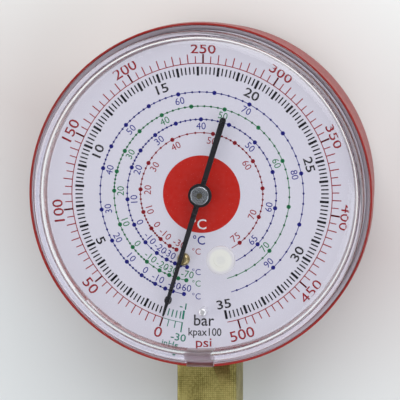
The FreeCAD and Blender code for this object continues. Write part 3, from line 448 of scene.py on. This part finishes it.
# Painted light and shade: the pale stops lighten the shaded ring, and the dark last stop paints the
# shadow at its edge.
drift_colour(rubber_painted_light_and_shade, mixed(rubber_painted_light_and_shade, painted_shadow_share, noise(rubber_painted_light_and_shade, 300, 3), 0.12), [
    (0.1, (0.70, 0.68, 0.77)), (0.84, (0.74, 0.72, 0.82)), (0.90, (0.09, 0.085, 0.10)),
])
grain(rubber_painted_light_and_shade, noise(rubber_painted_light_and_shade, 2000, 3), 0.01)
dress(rubber_painted_light_and_shade, "gasket")

# %% [markdown]
# ## Clear lens
# The lens is injection-moulded polycarbonate. A Principled shader with full transmission bends
# the light at the rounded shoulder, which draws the bright and dark rings round the dial. Path
# tracing can't find lamps through such glass, so for shadow rays and for light that the dial has
# scattered the material is swapped for a Transparent shader. The dial below is then lit as it
# would be in the open. The key at the bottom is sand-blasted in the mould, so it is rough. Its
# colour there is a darker grey-pink, a painted reflection that stands in for the case's red wall
# seen through it. A test on the place tells it from the rest.

# %% Lens finish
POLISHED, BLASTED = 0.015, 0.3    # roughness, and how much the blasting adds to it
KEY_HALF_WIDTH = 3.1
KEY_TOP = 36.0    # how far below the dial's centre the key begins


def clear_where(material, share, tint=(1, 1, 1)):
    """Lets light straight through a finish where a share says so."""
    nodes, links = tree_of(material)
    through = nodes.new("ShaderNodeBsdfTransparent")
    through.inputs["Color"].default_value = (*tint, 1)
    mix = nodes.new("ShaderNodeMixShader")
    links.new(share, mix.inputs["Fac"])
    links.new(shader_of(material).outputs["BSDF"], mix.inputs[1])
    links.new(through.outputs["BSDF"], mix.inputs[2])
    links.new(mix.outputs["Shader"], nodes["Material Output"].inputs["Surface"])


def pass_lamp_light(material, tint):
    """Lets shadow rays and scattered light straight through a see-through finish."""
    path = tree_of(material)[0].new("ShaderNodeLightPath")
    clear_where(material, calculate(material, "MAXIMUM", path.outputs["Is Shadow Ray"],
                                    path.outputs["Is Diffuse Ray"]), tint)


def split_place(material):
    """The X, Y and Z of a point on the piece."""
    nodes, links = tree_of(material)
    place = nodes.new("ShaderNodeSeparateXYZ")
    links.new(place_node(material), place.inputs["Vector"])
    return place.outputs


def inside_key(material):
    """1 within the key at the lens's bottom edge, else 0."""
    place = split_place(material)
    aside = calculate(material, "ABSOLUTE", place["X"])
    narrow = calculate(material, "LESS_THAN", aside, KEY_HALF_WIDTH * MM)
    low = calculate(material, "LESS_THAN", place["Z"], dial_centre.z - KEY_TOP * MM)
    return calculate(material, "MULTIPLY", narrow, low)


clear_plastic = finish("clear_plastic", (0.98, 0.985, 1.0), POLISHED)
preset(shader_of(clear_plastic), {
    "Transmission Weight": 1.0, "IOR": 1.42, "Specular IOR Level": 0.2,
})
in_key = inside_key(clear_plastic)
# Painted reflection: the key's grey-pink stands in for the case's red wall seen through it.
drift_colour(clear_plastic, in_key, [(0.0, (0.98, 0.985, 1.0)), (1.0, (0.44, 0.35, 0.38))])
feed(clear_plastic, calculate(clear_plastic, "MULTIPLY_ADD", in_key, BLASTED, POLISHED), "Roughness")
pass_lamp_light(clear_plastic, (0.96, 0.96, 0.97))
grain(clear_plastic, noise(clear_plastic, 120, 2), 0.004, 0.4)
dress(clear_plastic, "lens")

# %% [markdown]
# ## Nylon plug
#
# The plug is natural nylon: milky, and it lets the print behind it glow through. About half of
# the light goes on through its rough skin and is blurred, and the rest is thrown back white. The
# head is thinner in its middle and at its rim, and its colour follows the radius with painted
# light and shade: darker in the middle and at the rim, bright between.

# %% Plug finish
milky_nylon = finish("milky_nylon", (0.80, 0.80, 0.78), 0.35)
PLUG_RADIUS = 3.4
plug_low, plug_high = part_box("lens_plug")
# Painted light and shade in rings across the plug's head.
drift_colour(milky_nylon, radius_share(milky_nylon, 0, PLUG_RADIUS, (plug_low + plug_high) / 2), [
    (0.24, (0.76, 0.77, 0.74)), (0.40, (0.84, 0.85, 0.80)),
    (0.68, (0.84, 0.85, 0.80)), (0.86, (0.70, 0.69, 0.73)),
])
preset(shader_of(milky_nylon), {"Transmission Weight": 0.55, "IOR": 1.35})
pass_lamp_light(milky_nylon, (0.75, 0.75, 0.74))
grain(milky_nylon, noise(milky_nylon, 700, 2), 0.01, 0.5)
dress(milky_nylon, "lens_plug")

# %% [markdown]
# ## Inks
#
# The dial is screen printed in black, red, blue and two greens. Ink is thin and slightly uneven,
# so each colour drifts a little towards a lighter tone.

# %% Ink finishes
GROUND, THIN_SHARE = 0.8, 0.015


def ink(name, colour):
    """An ink that lets a little of the pale ground through where it is thin."""
    material = finish(name, colour, 0.24)
    light = tuple(c + (GROUND - c) * THIN_SHARE for c in colour)
    drift_colour(material, noise(material, 900, 3), [(0.35, colour), (0.8, light)])
    return material


black_ink = ink("black_ink", (0.005, 0.005, 0.009))
red_ink = ink("red_ink", (0.28, 0.008, 0.018))
disc_red = ink("disc_red", (0.45, 0.007, 0.001))
blue_ink = ink("blue_ink", (0.012, 0.012, 0.22))
green_ink = ink("green_ink", (0.014, 0.18, 0.065))
teal_ink = ink("teal_ink", (0.022, 0.19, 0.13))
white_ink = ink("white_ink", (0.80, 0.80, 0.82))

# %% [markdown]
# ## Ticks
#
# A scale is one tick repeated. The tick is a plane the size of the printed bar, and the Spin
# operator with duplicates on copies it round the dial's axis, which keeps the steps exact. The
# same operator without duplicates drags an edge round and leaves a thin curved band, for the
# rings and arcs.

# %% Tick and arc makers
AXIS = (0, -1, 0)
SLIVER = 0.05    # width of the bar that is dragged round


def flat_bar(name, inner, outer, width, angle):
    """A flat bar that points at the dial's centre, between two radii in millimetres."""
    deselect()
    bpy.ops.mesh.primitive_plane_add(size=1, location=dial_point((inner + outer) / 2, angle),
                                     rotation=(math.pi / 2, math.radians(angle), 0))
    bar = bpy.context.object
    bar.name = name
    bar.scale = (width * MM, (outer - inner) * MM, 1)
    return settle(bar)


def spin(piece, steps, degrees, copies):
    """Spins the selected part of a mesh about the dial's axis, clockwise to the reader."""
    only(piece)
    bpy.ops.object.mode_set(mode="EDIT")
    bpy.ops.mesh.spin(steps=steps, dupli=copies, angle=math.radians(degrees),
                      center=(dial_centre.x, dial_face, dial_centre.z), axis=AXIS)
    bpy.ops.object.mode_set(mode="OBJECT")
    return piece


def tick_ring(name, inner, outer, width, first, step, count):
    """Count equal ticks from the dial angle first on, a step apart."""
    ring = flat_bar(name, inner, outer, width, first)
    if count > 1:
        spin(ring, count - 1, step * (count - 1), True)
    return ring


def arc_band(name, radius, width, first, last):
    """A thin band of print along a circle, between two dial angles."""
    band = flat_bar(name, radius - width / 2, radius + width / 2, SLIVER, first)
    ahead = dial_point(radius, first + 5) - dial_point(radius, first)
    middle = dial_point(radius, first)
    for vertex in band.data.vertices:
        vertex.select = (vertex.co - middle).dot(ahead) > 0
    for edge in band.data.edges:
        edge.select = all(band.data.vertices[i].select for i in edge.vertices)
    for polygon in band.data.polygons:
        polygon.select = False
    only(band)
    bpy.ops.object.mode_set(mode="EDIT")
    bpy.ops.mesh.select_mode(type="EDGE")
    bpy.ops.object.mode_set(mode="OBJECT")
    return spin(band, max(8, round((last - first) / 2)), last - first, False)


# %% [markdown]
# ## Bar scale
#
# The inner scale runs from -1 to 35 bar: a bold tick for each bar and four light ones between.
# Below zero it is printed in the vacuum scale's green.

# %% Bar scale
ZERO = 17.5
BAR_STEP = 9.457
BOLD_TICK = (27.6, 29.7)    # inner and outer end
LIGHT_TICK = (27.9, 29.64)
bar_bold = tick_ring("bar_bold_ticks", *BOLD_TICK, 0.57, ZERO, BAR_STEP, 36)
bar_light = [tick_ring(f"bar_light_{i}", *LIGHT_TICK, 0.32, ZERO + BAR_STEP * i / 5, BAR_STEP, 35)
             for i in range(1, 5)]
bar_scale = ink_on(join([bar_bold] + bar_light, "print_bar_ticks"), black_ink)
print("bar scale faces", len(bar_scale.data.polygons))

# %% [markdown]
# ## Pressure scale in psi
#
# The outer scale stands on a thin red arc. It has a short tick each 5 psi, a longer one each 10
# and a bold one each 50.

# %% Psi scale
PSI_STEP = 0.6525
PSI_ARC = 30.45
SHORT_TICK = (PSI_ARC, 32.1)
LONG_TICK = (PSI_ARC, 32.6)
psi_arc = arc_band("psi_arc", PSI_ARC, 0.20, ZERO, 348.5)
psi_fives = tick_ring("psi_fives", *SHORT_TICK, 0.23, ZERO + PSI_STEP * 5, PSI_STEP * 10, 50)
psi_tens = tick_ring("psi_tens", *LONG_TICK, 0.25, ZERO, PSI_STEP * 10, 51)
psi_fifties = tick_ring("psi_fifties", *LONG_TICK, 0.40, ZERO, PSI_STEP * 50, 11)
ink_on(join([psi_arc, psi_fives, psi_tens, psi_fifties], "print_psi_ticks"), red_ink)

# %% [markdown]
# ## Vacuum scale
#
# Below zero both scales go on to full vacuum at -1 bar, with four light ticks between and a mark
# for each ten inches of mercury on the outside.

# %% Vacuum scale
VACUUM = 8.55
vacuum_arc = arc_band("vacuum_arc", PSI_ARC, 0.15, VACUUM - 0.2, ZERO)
vacuum_light = tick_ring("vacuum_light", *LIGHT_TICK, 0.28, ZERO - BAR_STEP / 5, -BAR_STEP / 5, 4)
vacuum_bold = flat_bar("vacuum_bold", *BOLD_TICK, 0.48, VACUUM)
vacuum_inches = tick_ring("vacuum_inches", *SHORT_TICK, 0.22, VACUUM + 3, 3, 2)
vacuum_last = flat_bar("vacuum_last", PSI_ARC, 32.8, 0.32, VACUUM)
ink_on(join([vacuum_arc, vacuum_light, vacuum_bold, vacuum_inches, vacuum_last],
            "print_vacuum_ticks"), teal_ink)

# %% [markdown]
# ## Temperature rings
#
# Four rings turn pressure into the boiling temperature of four refrigerants. Boiling pressure
# rises nearly as an exponential of temperature, so the dots crowd at the cold end and spread at
# the hot end. Between two known dots, the logarithm of absolute pressure is a straight line
# against 1 / (T + 250), and each small dot is placed on that line.

# %% Ring data: temperature and dial angle of each large dot, in degrees
VACUUM_END = 7.92    # the dial angle of no pressure at all
BOILING_SHIFT = 250
RING_DOTS = {
    "inner": [(-30, 24.25), (-20, 31.5), (-10, 42), (0, 55.25), (10, 72.25), (20, 93.75),
              (30, 119.75), (40, 151.5), (50, 190.75), (55, 212.75), (60, 236.75), (65, 263.75),
              (70, 291), (75, 321.5)],
    "second": [(-70, 11.25), (-50, 16.5), (-40, 21), (-30, 28), (-20, 37), (-10, 49), (0, 65),
               (10, 85.25), (20, 110.25), (25, 125), (30, 141.5), (35, 159.75), (40, 179.5),
               (45, 201.5), (50, 225.5), (55, 252), (60, 280), (65, 311.25)],
    "third": [(-70, 10), (-40, 15.5), (-30, 21.75), (-20, 28.75), (-10, 38.75), (0, 52), (10, 69),
              (20, 91.5), (25, 104.25), (30, 118.75), (35, 135), (40, 153), (45, 173.25),
              (50, 195.25), (55, 220.25), (60, 247), (65, 277.5), (70, 309.25)],
    "outer": [(-60, 10), (-30, 16.5), (-20, 21), (-10, 27.25), (0, 36.25), (10, 47.5), (20, 62),
              (30, 80.5), (40, 104), (45, 117.25), (50, 132), (55, 148.75), (60, 166.75),
              (65, 187.25), (70, 208), (75, 232.75), (80, 257.5), (85, 286.5), (90, 315.25)],
}
# Each ring: radius of its line, radius of its numbers, where its line ends, how many small dots
# follow the last large one, its ink and its numbers.
RINGS = [
    ("inner", 14.32, 12.67, 330.5, 0, red_ink, [-30, -10, 0, 10, 20, 30, 40, 50, 60, 70, 75]),
    ("second", 17.43, 15.92, 332.5, 2, blue_ink, [-30, -20, -10, 0, 10, 20, 30, 40, 50, 60, 65]),
    ("third", 20.50, 19.03, 343.0, 4, green_ink, [-70, -30, -20, -10, 0, 10, 20, 30, 40, 50, 60, 70]),
    ("outer", 23.79, 22.23, 343.0, 4, blue_ink, [-60, -30, -10, 0, 10, 20, 30, 40, 50, 60, 70, 80, 90]),
]


def between(cold, hot, temperature):
    """The dial angle of a temperature, on the line through two known dots."""
    place = [1 / (t + BOILING_SHIFT) for t in (cold[0], hot[0], temperature)]
    share = (place[2] - place[0]) / (place[1] - place[0])
    low, high = math.log(cold[1] - VACUUM_END), math.log(hot[1] - VACUUM_END)
    return VACUUM_END + math.exp(low + (high - low) * share)


def small_dots(dots, beyond):
    """Dial angles of the small dots: each degree, each two or each five, as the ring is wide."""
    angles = []
    for cold, hot in zip(dots, dots[1:]):
        gap = hot[0] - cold[0]
        step = 1 if gap == 5 else 2 if cold[0] >= -10 else 5
        if gap <= 10:
            angles += [between(cold, hot, t) for t in range(cold[0] + step, hot[0], step)]
    angles += [between(dots[-2], dots[-1], dots[-1][0] + i) for i in range(1, beyond + 1)]
    return angles


# %% [markdown]
# A dot is a filled circle of twelve sides, which is plenty at this size. The first dot of a row
# is modelled, and every other one is a copy with its own mesh, moved to its place.

# %% Dots on the rings
def dot(name, radius, width, angle):
    """A round printed dot."""
    deselect()
    bpy.ops.mesh.primitive_circle_add(vertices=12, radius=width / 2 * MM, fill_type="NGON",
                                      location=dial_point(radius, angle), rotation=(math.pi / 2, 0, 0))
    bpy.context.object.name = name
    return settle(bpy.context.object)


def dot_row(name, radius, width, angles):
    """Equal dots at a list of dial angles, joined into one mark."""
    first = dot(name, radius, width, angles[0])
    start = dial_point(radius, angles[0])
    dots = [first]
    for angle in angles[1:]:
        copy = add_object(name, first.data.copy())
        copy.data.transform(Matrix.Translation(dial_point(radius, angle) - start))
        dots.append(copy)
    return join(dots, name)


for name, radius, _, end, beyond, colour, _ in RINGS:
    dots = RING_DOTS[name]
    line = arc_band(name + "_line", radius, 0.17, dots[0][1], end)
    large = dot_row(name + "_large", radius, 1.02, [angle for _, angle in dots])
    small = dot_row(name + "_small", radius, 0.52, small_dots(dots, beyond))
    ink_on(join([line, large, small], "print_ring_" + name), colour)
    print(name, "ring:", len(dots), "large dots")

# %% [markdown]
# ## Numerals
#
# Numbers follow the dial's curve. In the upper part their tops point outwards, and in the lower
# part they are turned over so that the reader doesn't have to read them upside down. Each is a
# text object, made a mesh, fitted to its height and stood on the dial at its own angle. How high
# a digit stands for a text size of 1 depends on the font, so it is measured once on a zero. An
# offset makes the strokes heavier, but it closes the eye of a 4, so numbers with one go without.

# %% Lettering makers
def plain_words(words, size, weight):
    """Words as a flat mesh in the XY plane, their foot on the X axis."""
    deselect()
    bpy.ops.object.text_add(align="WORLD")
    text = bpy.context.object
    text.data.body = words
    text.data.size = size
    text.data.offset = weight
    text.data.resolution_u = 3
    only(text)
    bpy.ops.object.convert(target="MESH")
    return bpy.context.object


def reach_of(mark, axis):
    """Lowest and highest coordinate of a mark's points along one axis."""
    values = [vertex.co[axis] for vertex in mark.data.vertices]
    return min(values), max(values)


zero = plain_words("0", 1.0, 0.0)
zero_low, zero_high = reach_of(zero, 1)
DIGIT = zero_high - zero_low
bpy.data.objects.remove(zero)
print("digit height", DIGIT)


def flat_words(name, words, height, stretch=1.0, weight=0.0):
    """Words as a flat mesh round the origin of the XY plane, their digits of the given height."""
    mark = plain_words(words, (height - 2 * weight) * MM / DIGIT, weight * MM)
    mark.name = mark.data.name = name
    left, right = reach_of(mark, 0)
    centre = Matrix.Translation((-(left + right) / 2, -height * MM / 2 + weight * MM, 0))
    mark.data.transform(Matrix.Diagonal((stretch, 1, 1, 1)) @ centre)
    return mark


def stand(mark, place, upward):
    """Stands flat words on the dial at a place, with their tops towards a direction (x, z)."""
    a, b = upward
    mark.data.transform(Matrix((
        (b, a, 0, place.x), (0, 0, -1, place.y), (-a, b, 0, place.z), (0, 0, 0, 1),
    )))
    return mark


def numeral(words, radius, angle, height, flipped, stretch=1.0, weight=0.0):
    """A number on the dial's curve."""
    turn = math.radians(angle)
    way = 1 if flipped else -1
    mark = flat_words("numeral", words, height, stretch, weight)
    return stand(mark, dial_point(radius, angle), (way * math.sin(turn), way * math.cos(turn)))


def upright(words, across, down, height, stretch=1.0, weight=0.0):
    """Words that stand straight, at millimetres across and down from the dial's centre."""
    mark = flat_words("words", words, height, stretch, weight)
    place = Vector((dial_centre.x + across * MM, dial_face, dial_centre.z - down * MM))
    return stand(mark, place, (0, 1))


# %% Numbers of the pressure scales
psi_numbers = [numeral(str(n), 33.95, ZERO + n * PSI_STEP, 2.48, n in (0, 50, 450, 500), 1.17,
                       0.0 if "4" in str(n) else 0.03) for n in range(0, 501, 50)]
ink_on(join(psi_numbers, "print_psi_numbers"), red_ink)
bar_numbers = [numeral(str(n), 26.13, ZERO + n * BAR_STEP, 2.15, n in (0, 5, 30, 35), 1.26, 0.045)
               for n in range(0, 36, 5)]
ink_on(join(bar_numbers, "print_bar_numbers"), black_ink)

# %% Numbers of the temperature rings
for name, _, radius, _, _, colour, labels in RINGS:
    angles = dict(RING_DOTS[name])
    numbers = [numeral(str(t), radius, angles[t], 1.62, angles[t] < 75 or angles[t] > 275)
               for t in labels]
    ink_on(join(numbers, "print_numbers_" + name), colour)

# %% [markdown]
# ## Red disc and unit marks
#
# The disc round the pointer's axis carries the unit of the rings. It is one flat circle with the
# staff's hole cut out, and its white mark lies on it as a second layer of ink.

# %% Disc and unit marks
def washer(name, inner, outer):
    """A flat disc with a round hole."""
    deselect()
    bpy.ops.mesh.primitive_circle_add(vertices=128, radius=outer * MM, fill_type="NGON",
                                      location=dial_point(0, 0), rotation=(math.pi / 2, 0, 0))
    piece = settle(bpy.context.object)
    piece.name = name
    only(piece)
    bpy.ops.object.mode_set(mode="EDIT")
    bpy.ops.mesh.select_all(action="SELECT")
    bpy.ops.mesh.inset(thickness=(outer - inner) * MM)
    bpy.ops.mesh.delete(type="FACE")
    bpy.ops.object.mode_set(mode="OBJECT")
    return piece


ink_on(washer("print_disc", 1.6, 9.05), disc_red)
ink_on(upright("°C", -0.6, 7.0, 2.40, 1.02, 0.03), white_ink, 2).name = "print_disc_unit"
ink_on(upright("°C", -0.6, 10.75, 2.1, 0.95, 0.03), blue_ink).name = "print_ring_unit"
for number, (down, colour) in enumerate([(13.4, red_ink), (18.2, blue_ink), (20.9, green_ink),
                                         (23.9, blue_ink)], 1):
    ink_on(upright("°C", -1.2, down, 1.45, 0.95), colour).name = f"print_row_unit_{number}"
ink_on(upright("bar", 0.6, 29.45, 2.65, 1.0, 0.03), black_ink).name = "print_bar"
ink_on(upright("kpax100", 0.8, 32.2, 1.85, 0.90, 0.02), black_ink).name = "print_kpa"
ink_on(upright("psi", 0.5, 34.7, 2.35, 1.12, 0.03), red_ink).name = "print_psi"
vacuum_marks = [numeral("-1", 26.6, 9.3, 1.55, True, 1.2, 0.03),
                numeral("-30", 34.0, 9.2, 1.75, True, 1.15, 0.03),
                numeral("inHg", 35.9, 11.9, 1.4, True, 1.1, 0.02)]
ink_on(join(vacuum_marks, "print_vacuum_words"), teal_ink)

# %% [markdown]
# ## Threaded stem
#
# The stem's solid is a plain cylinder. The real one has a tapered pipe thread of 27 turns to the
# inch. Such a thread is a cylinder whose radius rises and falls along a helix, so a wall of
# small faces is spun round the axis and each point is pushed in by where it lies on the helix.

# %% Stem thread
PITCH = 25.4 / 27
stem_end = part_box("socket")[0].z
THREAD_TOP = -0.4 * MM
THREAD_DEPTH = 0.62
GROOVE_HALF = 0.42    # half the groove's width, as a share of the pitch
CREST, CREST_HEIGHT = 5.05, -5    # radius of the crests, and the height at which they have it
SLOPE = 32    # millimetres of height for one millimetre of radius
LEAD_IN = 0.7    # chamfer at the stem's end
FADE_FROM, FADE_LENGTH = -1.6, 1.2    # where the groove runs out below the square
ROWS, SECTORS = 84, 96
NEAR = 1e-6    # points closer than this, in metres, are one


def thread_radius(height, turn):
    """Radius of the threaded wall in millimetres, at a height in millimetres and a turn."""
    phase = (height / PITCH + turn / (2 * math.pi)) % 1
    groove = THREAD_DEPTH * max(0.0, 1 - abs(phase - 0.5) / GROOVE_HALF)
    crest = CREST + (height - CREST_HEIGHT) / SLOPE
    lead_in = max(0.0, LEAD_IN - (height - stem_end / MM))
    run_out = max(0.0, (height - FADE_FROM) / FADE_LENGTH)
    return crest - groove * max(0.0, 1 - run_out) - lead_in


deselect()
bpy.ops.mesh.primitive_plane_add(size=1)
thread = bpy.context.object
thread.name = thread.data.name = "stem_thread"
only(thread)
bpy.ops.object.mode_set(mode="EDIT")
bpy.ops.mesh.select_all(action="SELECT")
bpy.ops.transform.resize(value=(0, 1, 1))
bpy.ops.mesh.remove_doubles(threshold=NEAR)
bpy.ops.mesh.select_all(action="SELECT")
bpy.ops.mesh.subdivide(number_cuts=ROWS)
bpy.ops.object.mode_set(mode="OBJECT")
span = THREAD_TOP - stem_end
for vertex in thread.data.vertices:
    vertex.co = (CREST * MM, 0, stem_end + (vertex.co.y + 0.5) * span)
bpy.ops.object.mode_set(mode="EDIT")
bpy.ops.mesh.select_all(action="SELECT")
bpy.ops.mesh.spin(steps=SECTORS, angle=2 * math.pi, center=(0, 0, 0), axis=(0, 0, 1))
bpy.ops.mesh.select_all(action="SELECT")
bpy.ops.mesh.remove_doubles(threshold=NEAR)
bpy.ops.object.mode_set(mode="OBJECT")
for vertex in thread.data.vertices:
    x, y, z = vertex.co
    turn = math.atan2(y, x)
    radius = thread_radius(z / MM, turn) * MM
    vertex.co = (radius * math.cos(turn), radius * math.sin(turn), z)
print("thread points", len(thread.data.vertices))

# %% [markdown]
# The wall is open at both ends, and each end needs a flat ring with the port in the middle. So
# the lower rim is extruded in to the port and then up it, and a bridge closes the ring on top.

# %% Stem end and port
PORT_RADIUS = 1.5 * MM


def select_height(piece, height):
    """Selects the points of a mesh at one height, and nothing else."""
    only(piece)
    for polygon in piece.data.polygons:
        polygon.select = False
    for vertex in piece.data.vertices:
        vertex.select = abs(vertex.co.z - height) < NEAR
    for edge in piece.data.edges:
        edge.select = all(piece.data.vertices[i].select for i in edge.vertices)


def shrink_selected(piece, radius, height):
    """Extrudes the selected loop and moves the copy to a radius and a height."""
    bpy.ops.object.mode_set(mode="EDIT")
    bpy.ops.mesh.select_mode(type="EDGE")
    bpy.ops.mesh.extrude_region_move()
    bpy.ops.object.mode_set(mode="OBJECT")
    for vertex in piece.data.vertices:
        if vertex.select:
            turn = math.atan2(vertex.co.y, vertex.co.x)
            vertex.co = (radius * math.cos(turn), radius * math.sin(turn), height)


select_height(thread, stem_end)
shrink_selected(thread, PORT_RADIUS, stem_end)
shrink_selected(thread, PORT_RADIUS, THREAD_TOP)
select_height(thread, THREAD_TOP)
only(thread)
bpy.ops.object.mode_set(mode="EDIT")
bpy.ops.mesh.bridge_edge_loops()
bpy.ops.mesh.select_all(action="SELECT")
bpy.ops.mesh.normals_make_consistent(inside=False)
bpy.ops.object.mode_set(mode="OBJECT")
bpy.ops.object.shade_smooth_by_angle(angle=SMOOTH_ANGLE)

# %% [markdown]
# The socket's own solid carries the plain cylinder, which would hide the grooves. So a copy of
# the socket is cut off where the thread begins, just under its shoulder, and the copy and the
# thread together stand for the solid.

# %% Socket above the stem
SAME_POINT = 1e-7


def merged_copy(node, name):
    """A copy of a solid, with the points that its faces share made one."""
    copy = only(add_object(name, solids[node].data.copy()))
    bpy.ops.object.mode_set(mode="EDIT")
    bpy.ops.mesh.select_all(action="SELECT")
    bpy.ops.mesh.remove_doubles(threshold=SAME_POINT)
    bpy.ops.object.mode_set(mode="OBJECT")
    return copy


block = merged_copy("socket", "socket_block")
bpy.ops.object.mode_set(mode="EDIT")
bpy.ops.mesh.select_all(action="SELECT")
bpy.ops.mesh.bisect(plane_co=(0, 0, THREAD_TOP), plane_no=(0, 0, 1), clear_inner=True, use_fill=True)
bpy.ops.object.mode_set(mode="OBJECT")
bpy.ops.object.shade_smooth_by_angle(angle=SMOOTH_ANGLE)
for piece in (block, thread):
    piece.data.materials.clear()
    piece.data.materials.append(bar_brass)
    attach(piece, "case_body")
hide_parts("socket")
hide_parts("socket")
print("socket faces", len(block.data.polygons), "thread faces", len(thread.data.polygons))

# %% [markdown]
# ## Bourdon tube
#
# Pressure opens the tube's curve, so its free end moves with the tip while its root stays in the
# socket. The solid is rigid, so a merged copy stands for it.

# %% Copy of the tube
tube = merged_copy("bourdon_tube", "flexing_tube")
bpy.ops.object.shade_smooth_by_angle(angle=SMOOTH_ANGLE)
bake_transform(tube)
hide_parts("bourdon_tube")

# %% [markdown]
# ## Table
#
# In the photograph the gauge lies on a pale table. Here it stands, so the table is a broad plane
# right behind its back. Its colour carries painted light: it gets lighter towards the top, and a
# little towards the right, for the way the light falls across the table. Seen from behind, the
# plane lets the eye through, so the gauge's back can be looked at as well.

# %% Table behind the gauge
TABLE_SIZE = 3
TABLE_GAP = 0.1 * MM
deselect()
table_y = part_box("case_screws")[1].y + TABLE_GAP
bpy.ops.mesh.primitive_plane_add(size=TABLE_SIZE, location=(0, table_y, dial_centre.z),
                                 rotation=(math.pi / 2, 0, 0))
table = settle(bpy.context.object)
table.name = "table_floor"
table_painted_light = finish("table_painted_light", (0.75, 0.75, 0.74), 0.6)
place = split_place(table_painted_light)
# Painted light: the table's colour lightens towards the top, and a little towards the right.
painted_light_slant = calculate(table_painted_light, "MULTIPLY_ADD", place["X"], 0.4, place["Z"])
painted_light_rise = rescale(table_painted_light, painted_light_slant, dial_centre.z - 0.05, dial_centre.z + 0.045)
drift_colour(table_painted_light, mixed(table_painted_light, painted_light_rise, noise(table_painted_light, 9, 3), 0.15), [
    (0.05, (0.68, 0.72, 0.735)), (0.5, (0.67, 0.655, 0.655)), (0.9, (0.83, 0.855, 0.85)),
])
grain(table_painted_light, noise(table_painted_light, 300, 3), 0.02)
side = tree_of(table_painted_light)[0].new("ShaderNodeNewGeometry")
clear_where(table_painted_light, side.outputs["Backfacing"])
table.data.materials.append(table_painted_light)

# %% [markdown]
# ## Light
#
# A clear window in front of a dial mirrors whatever stands in front of it, and a bright world
# there would lay a grey veil over the black ink. So the world is dim, and three broad soft boxes
# carry the light. They stand well outside the mirrored field: on the left, high on the right and
# low on the right. Their edges show as white streaks on the lens's rounded shoulder.

# %% World and lamps
bpy.context.scene.view_settings.view_transform = "Standard"
world = bpy.data.worlds.new("studio")
bpy.context.scene.world = world
world.use_nodes = True
preset(world.node_tree.nodes["Background"], {"Color": (0.95, 0.95, 0.97, 1), "Strength": 0.10})


def soft_box(name, place, size, power, colour):
    """A square lamp that faces the dial."""
    light = bpy.data.lights.new(name, "AREA")
    light.size = size
    light.energy = power
    light.color = colour
    lamp = add_object(name, light)
    lamp.location = place
    lamp.rotation_euler = (dial_centre - Vector(place)).to_track_quat("-Z", "Y").to_euler()


soft_box("left_box", (-0.80, -0.60, -0.12), 1.30, 8.4, (1.0, 0.985, 0.97))
soft_box("top_box", (0.35, -0.65, 0.85), 1.40, 14.6, (1.0, 0.99, 0.98))
soft_box("low_box", (0.55, -0.60, -0.50), 1.20, 7.1, (0.94, 0.97, 1.0))

# %% [markdown]
# ## Camera
#
# The photograph looks down a little and from slightly right of the dial's axis: nearer things,
# such as the hub, are shifted against the dial behind them by half a pixel for each millimetre.
# That fixes the direction. The rim's outline is hardly shifted at all, so the camera was about a
# metre away. The dial's centre is then put on the pixel where it lies in the photograph.

# %% Camera
PHOTO_WIDTH = 400
PIXEL = 0.2321 * MM
DIAL_PIXEL = (201.9, 193.9)
SENSOR = 36
DISTANCE = 1.0
right, above = math.radians(7.5), math.radians(6.3)
back = Vector((math.sin(right) * math.cos(above), -math.cos(right) * math.cos(above), math.sin(above)))
camera_data = bpy.data.cameras.new("camera")
camera = add_object("camera", camera_data)
bpy.context.scene.camera = camera
camera.rotation_mode = "QUATERNION"
camera.rotation_quaternion = (-back).to_track_quat("-Z", "Y")
to_right, to_top, _ = camera.rotation_quaternion.to_matrix().col
aim = (dial_point(0, 0) - to_right * (DIAL_PIXEL[0] - PHOTO_WIDTH / 2) * PIXEL
       - to_top * (PHOTO_WIDTH / 2 - DIAL_PIXEL[1]) * PIXEL)
camera.location = aim + back * DISTANCE
camera_data.sensor_width = SENSOR
camera_data.lens = SENSOR * DISTANCE / (PHOTO_WIDTH * PIXEL)
camera_data.clip_start, camera_data.clip_end = 0.01, 20
print("lens", camera_data.lens)

# %% [markdown]
# ## Sizes
#
# The dressed part has to keep the solid part's size.

# %% Update the scene
bpy.context.view_layer.update()
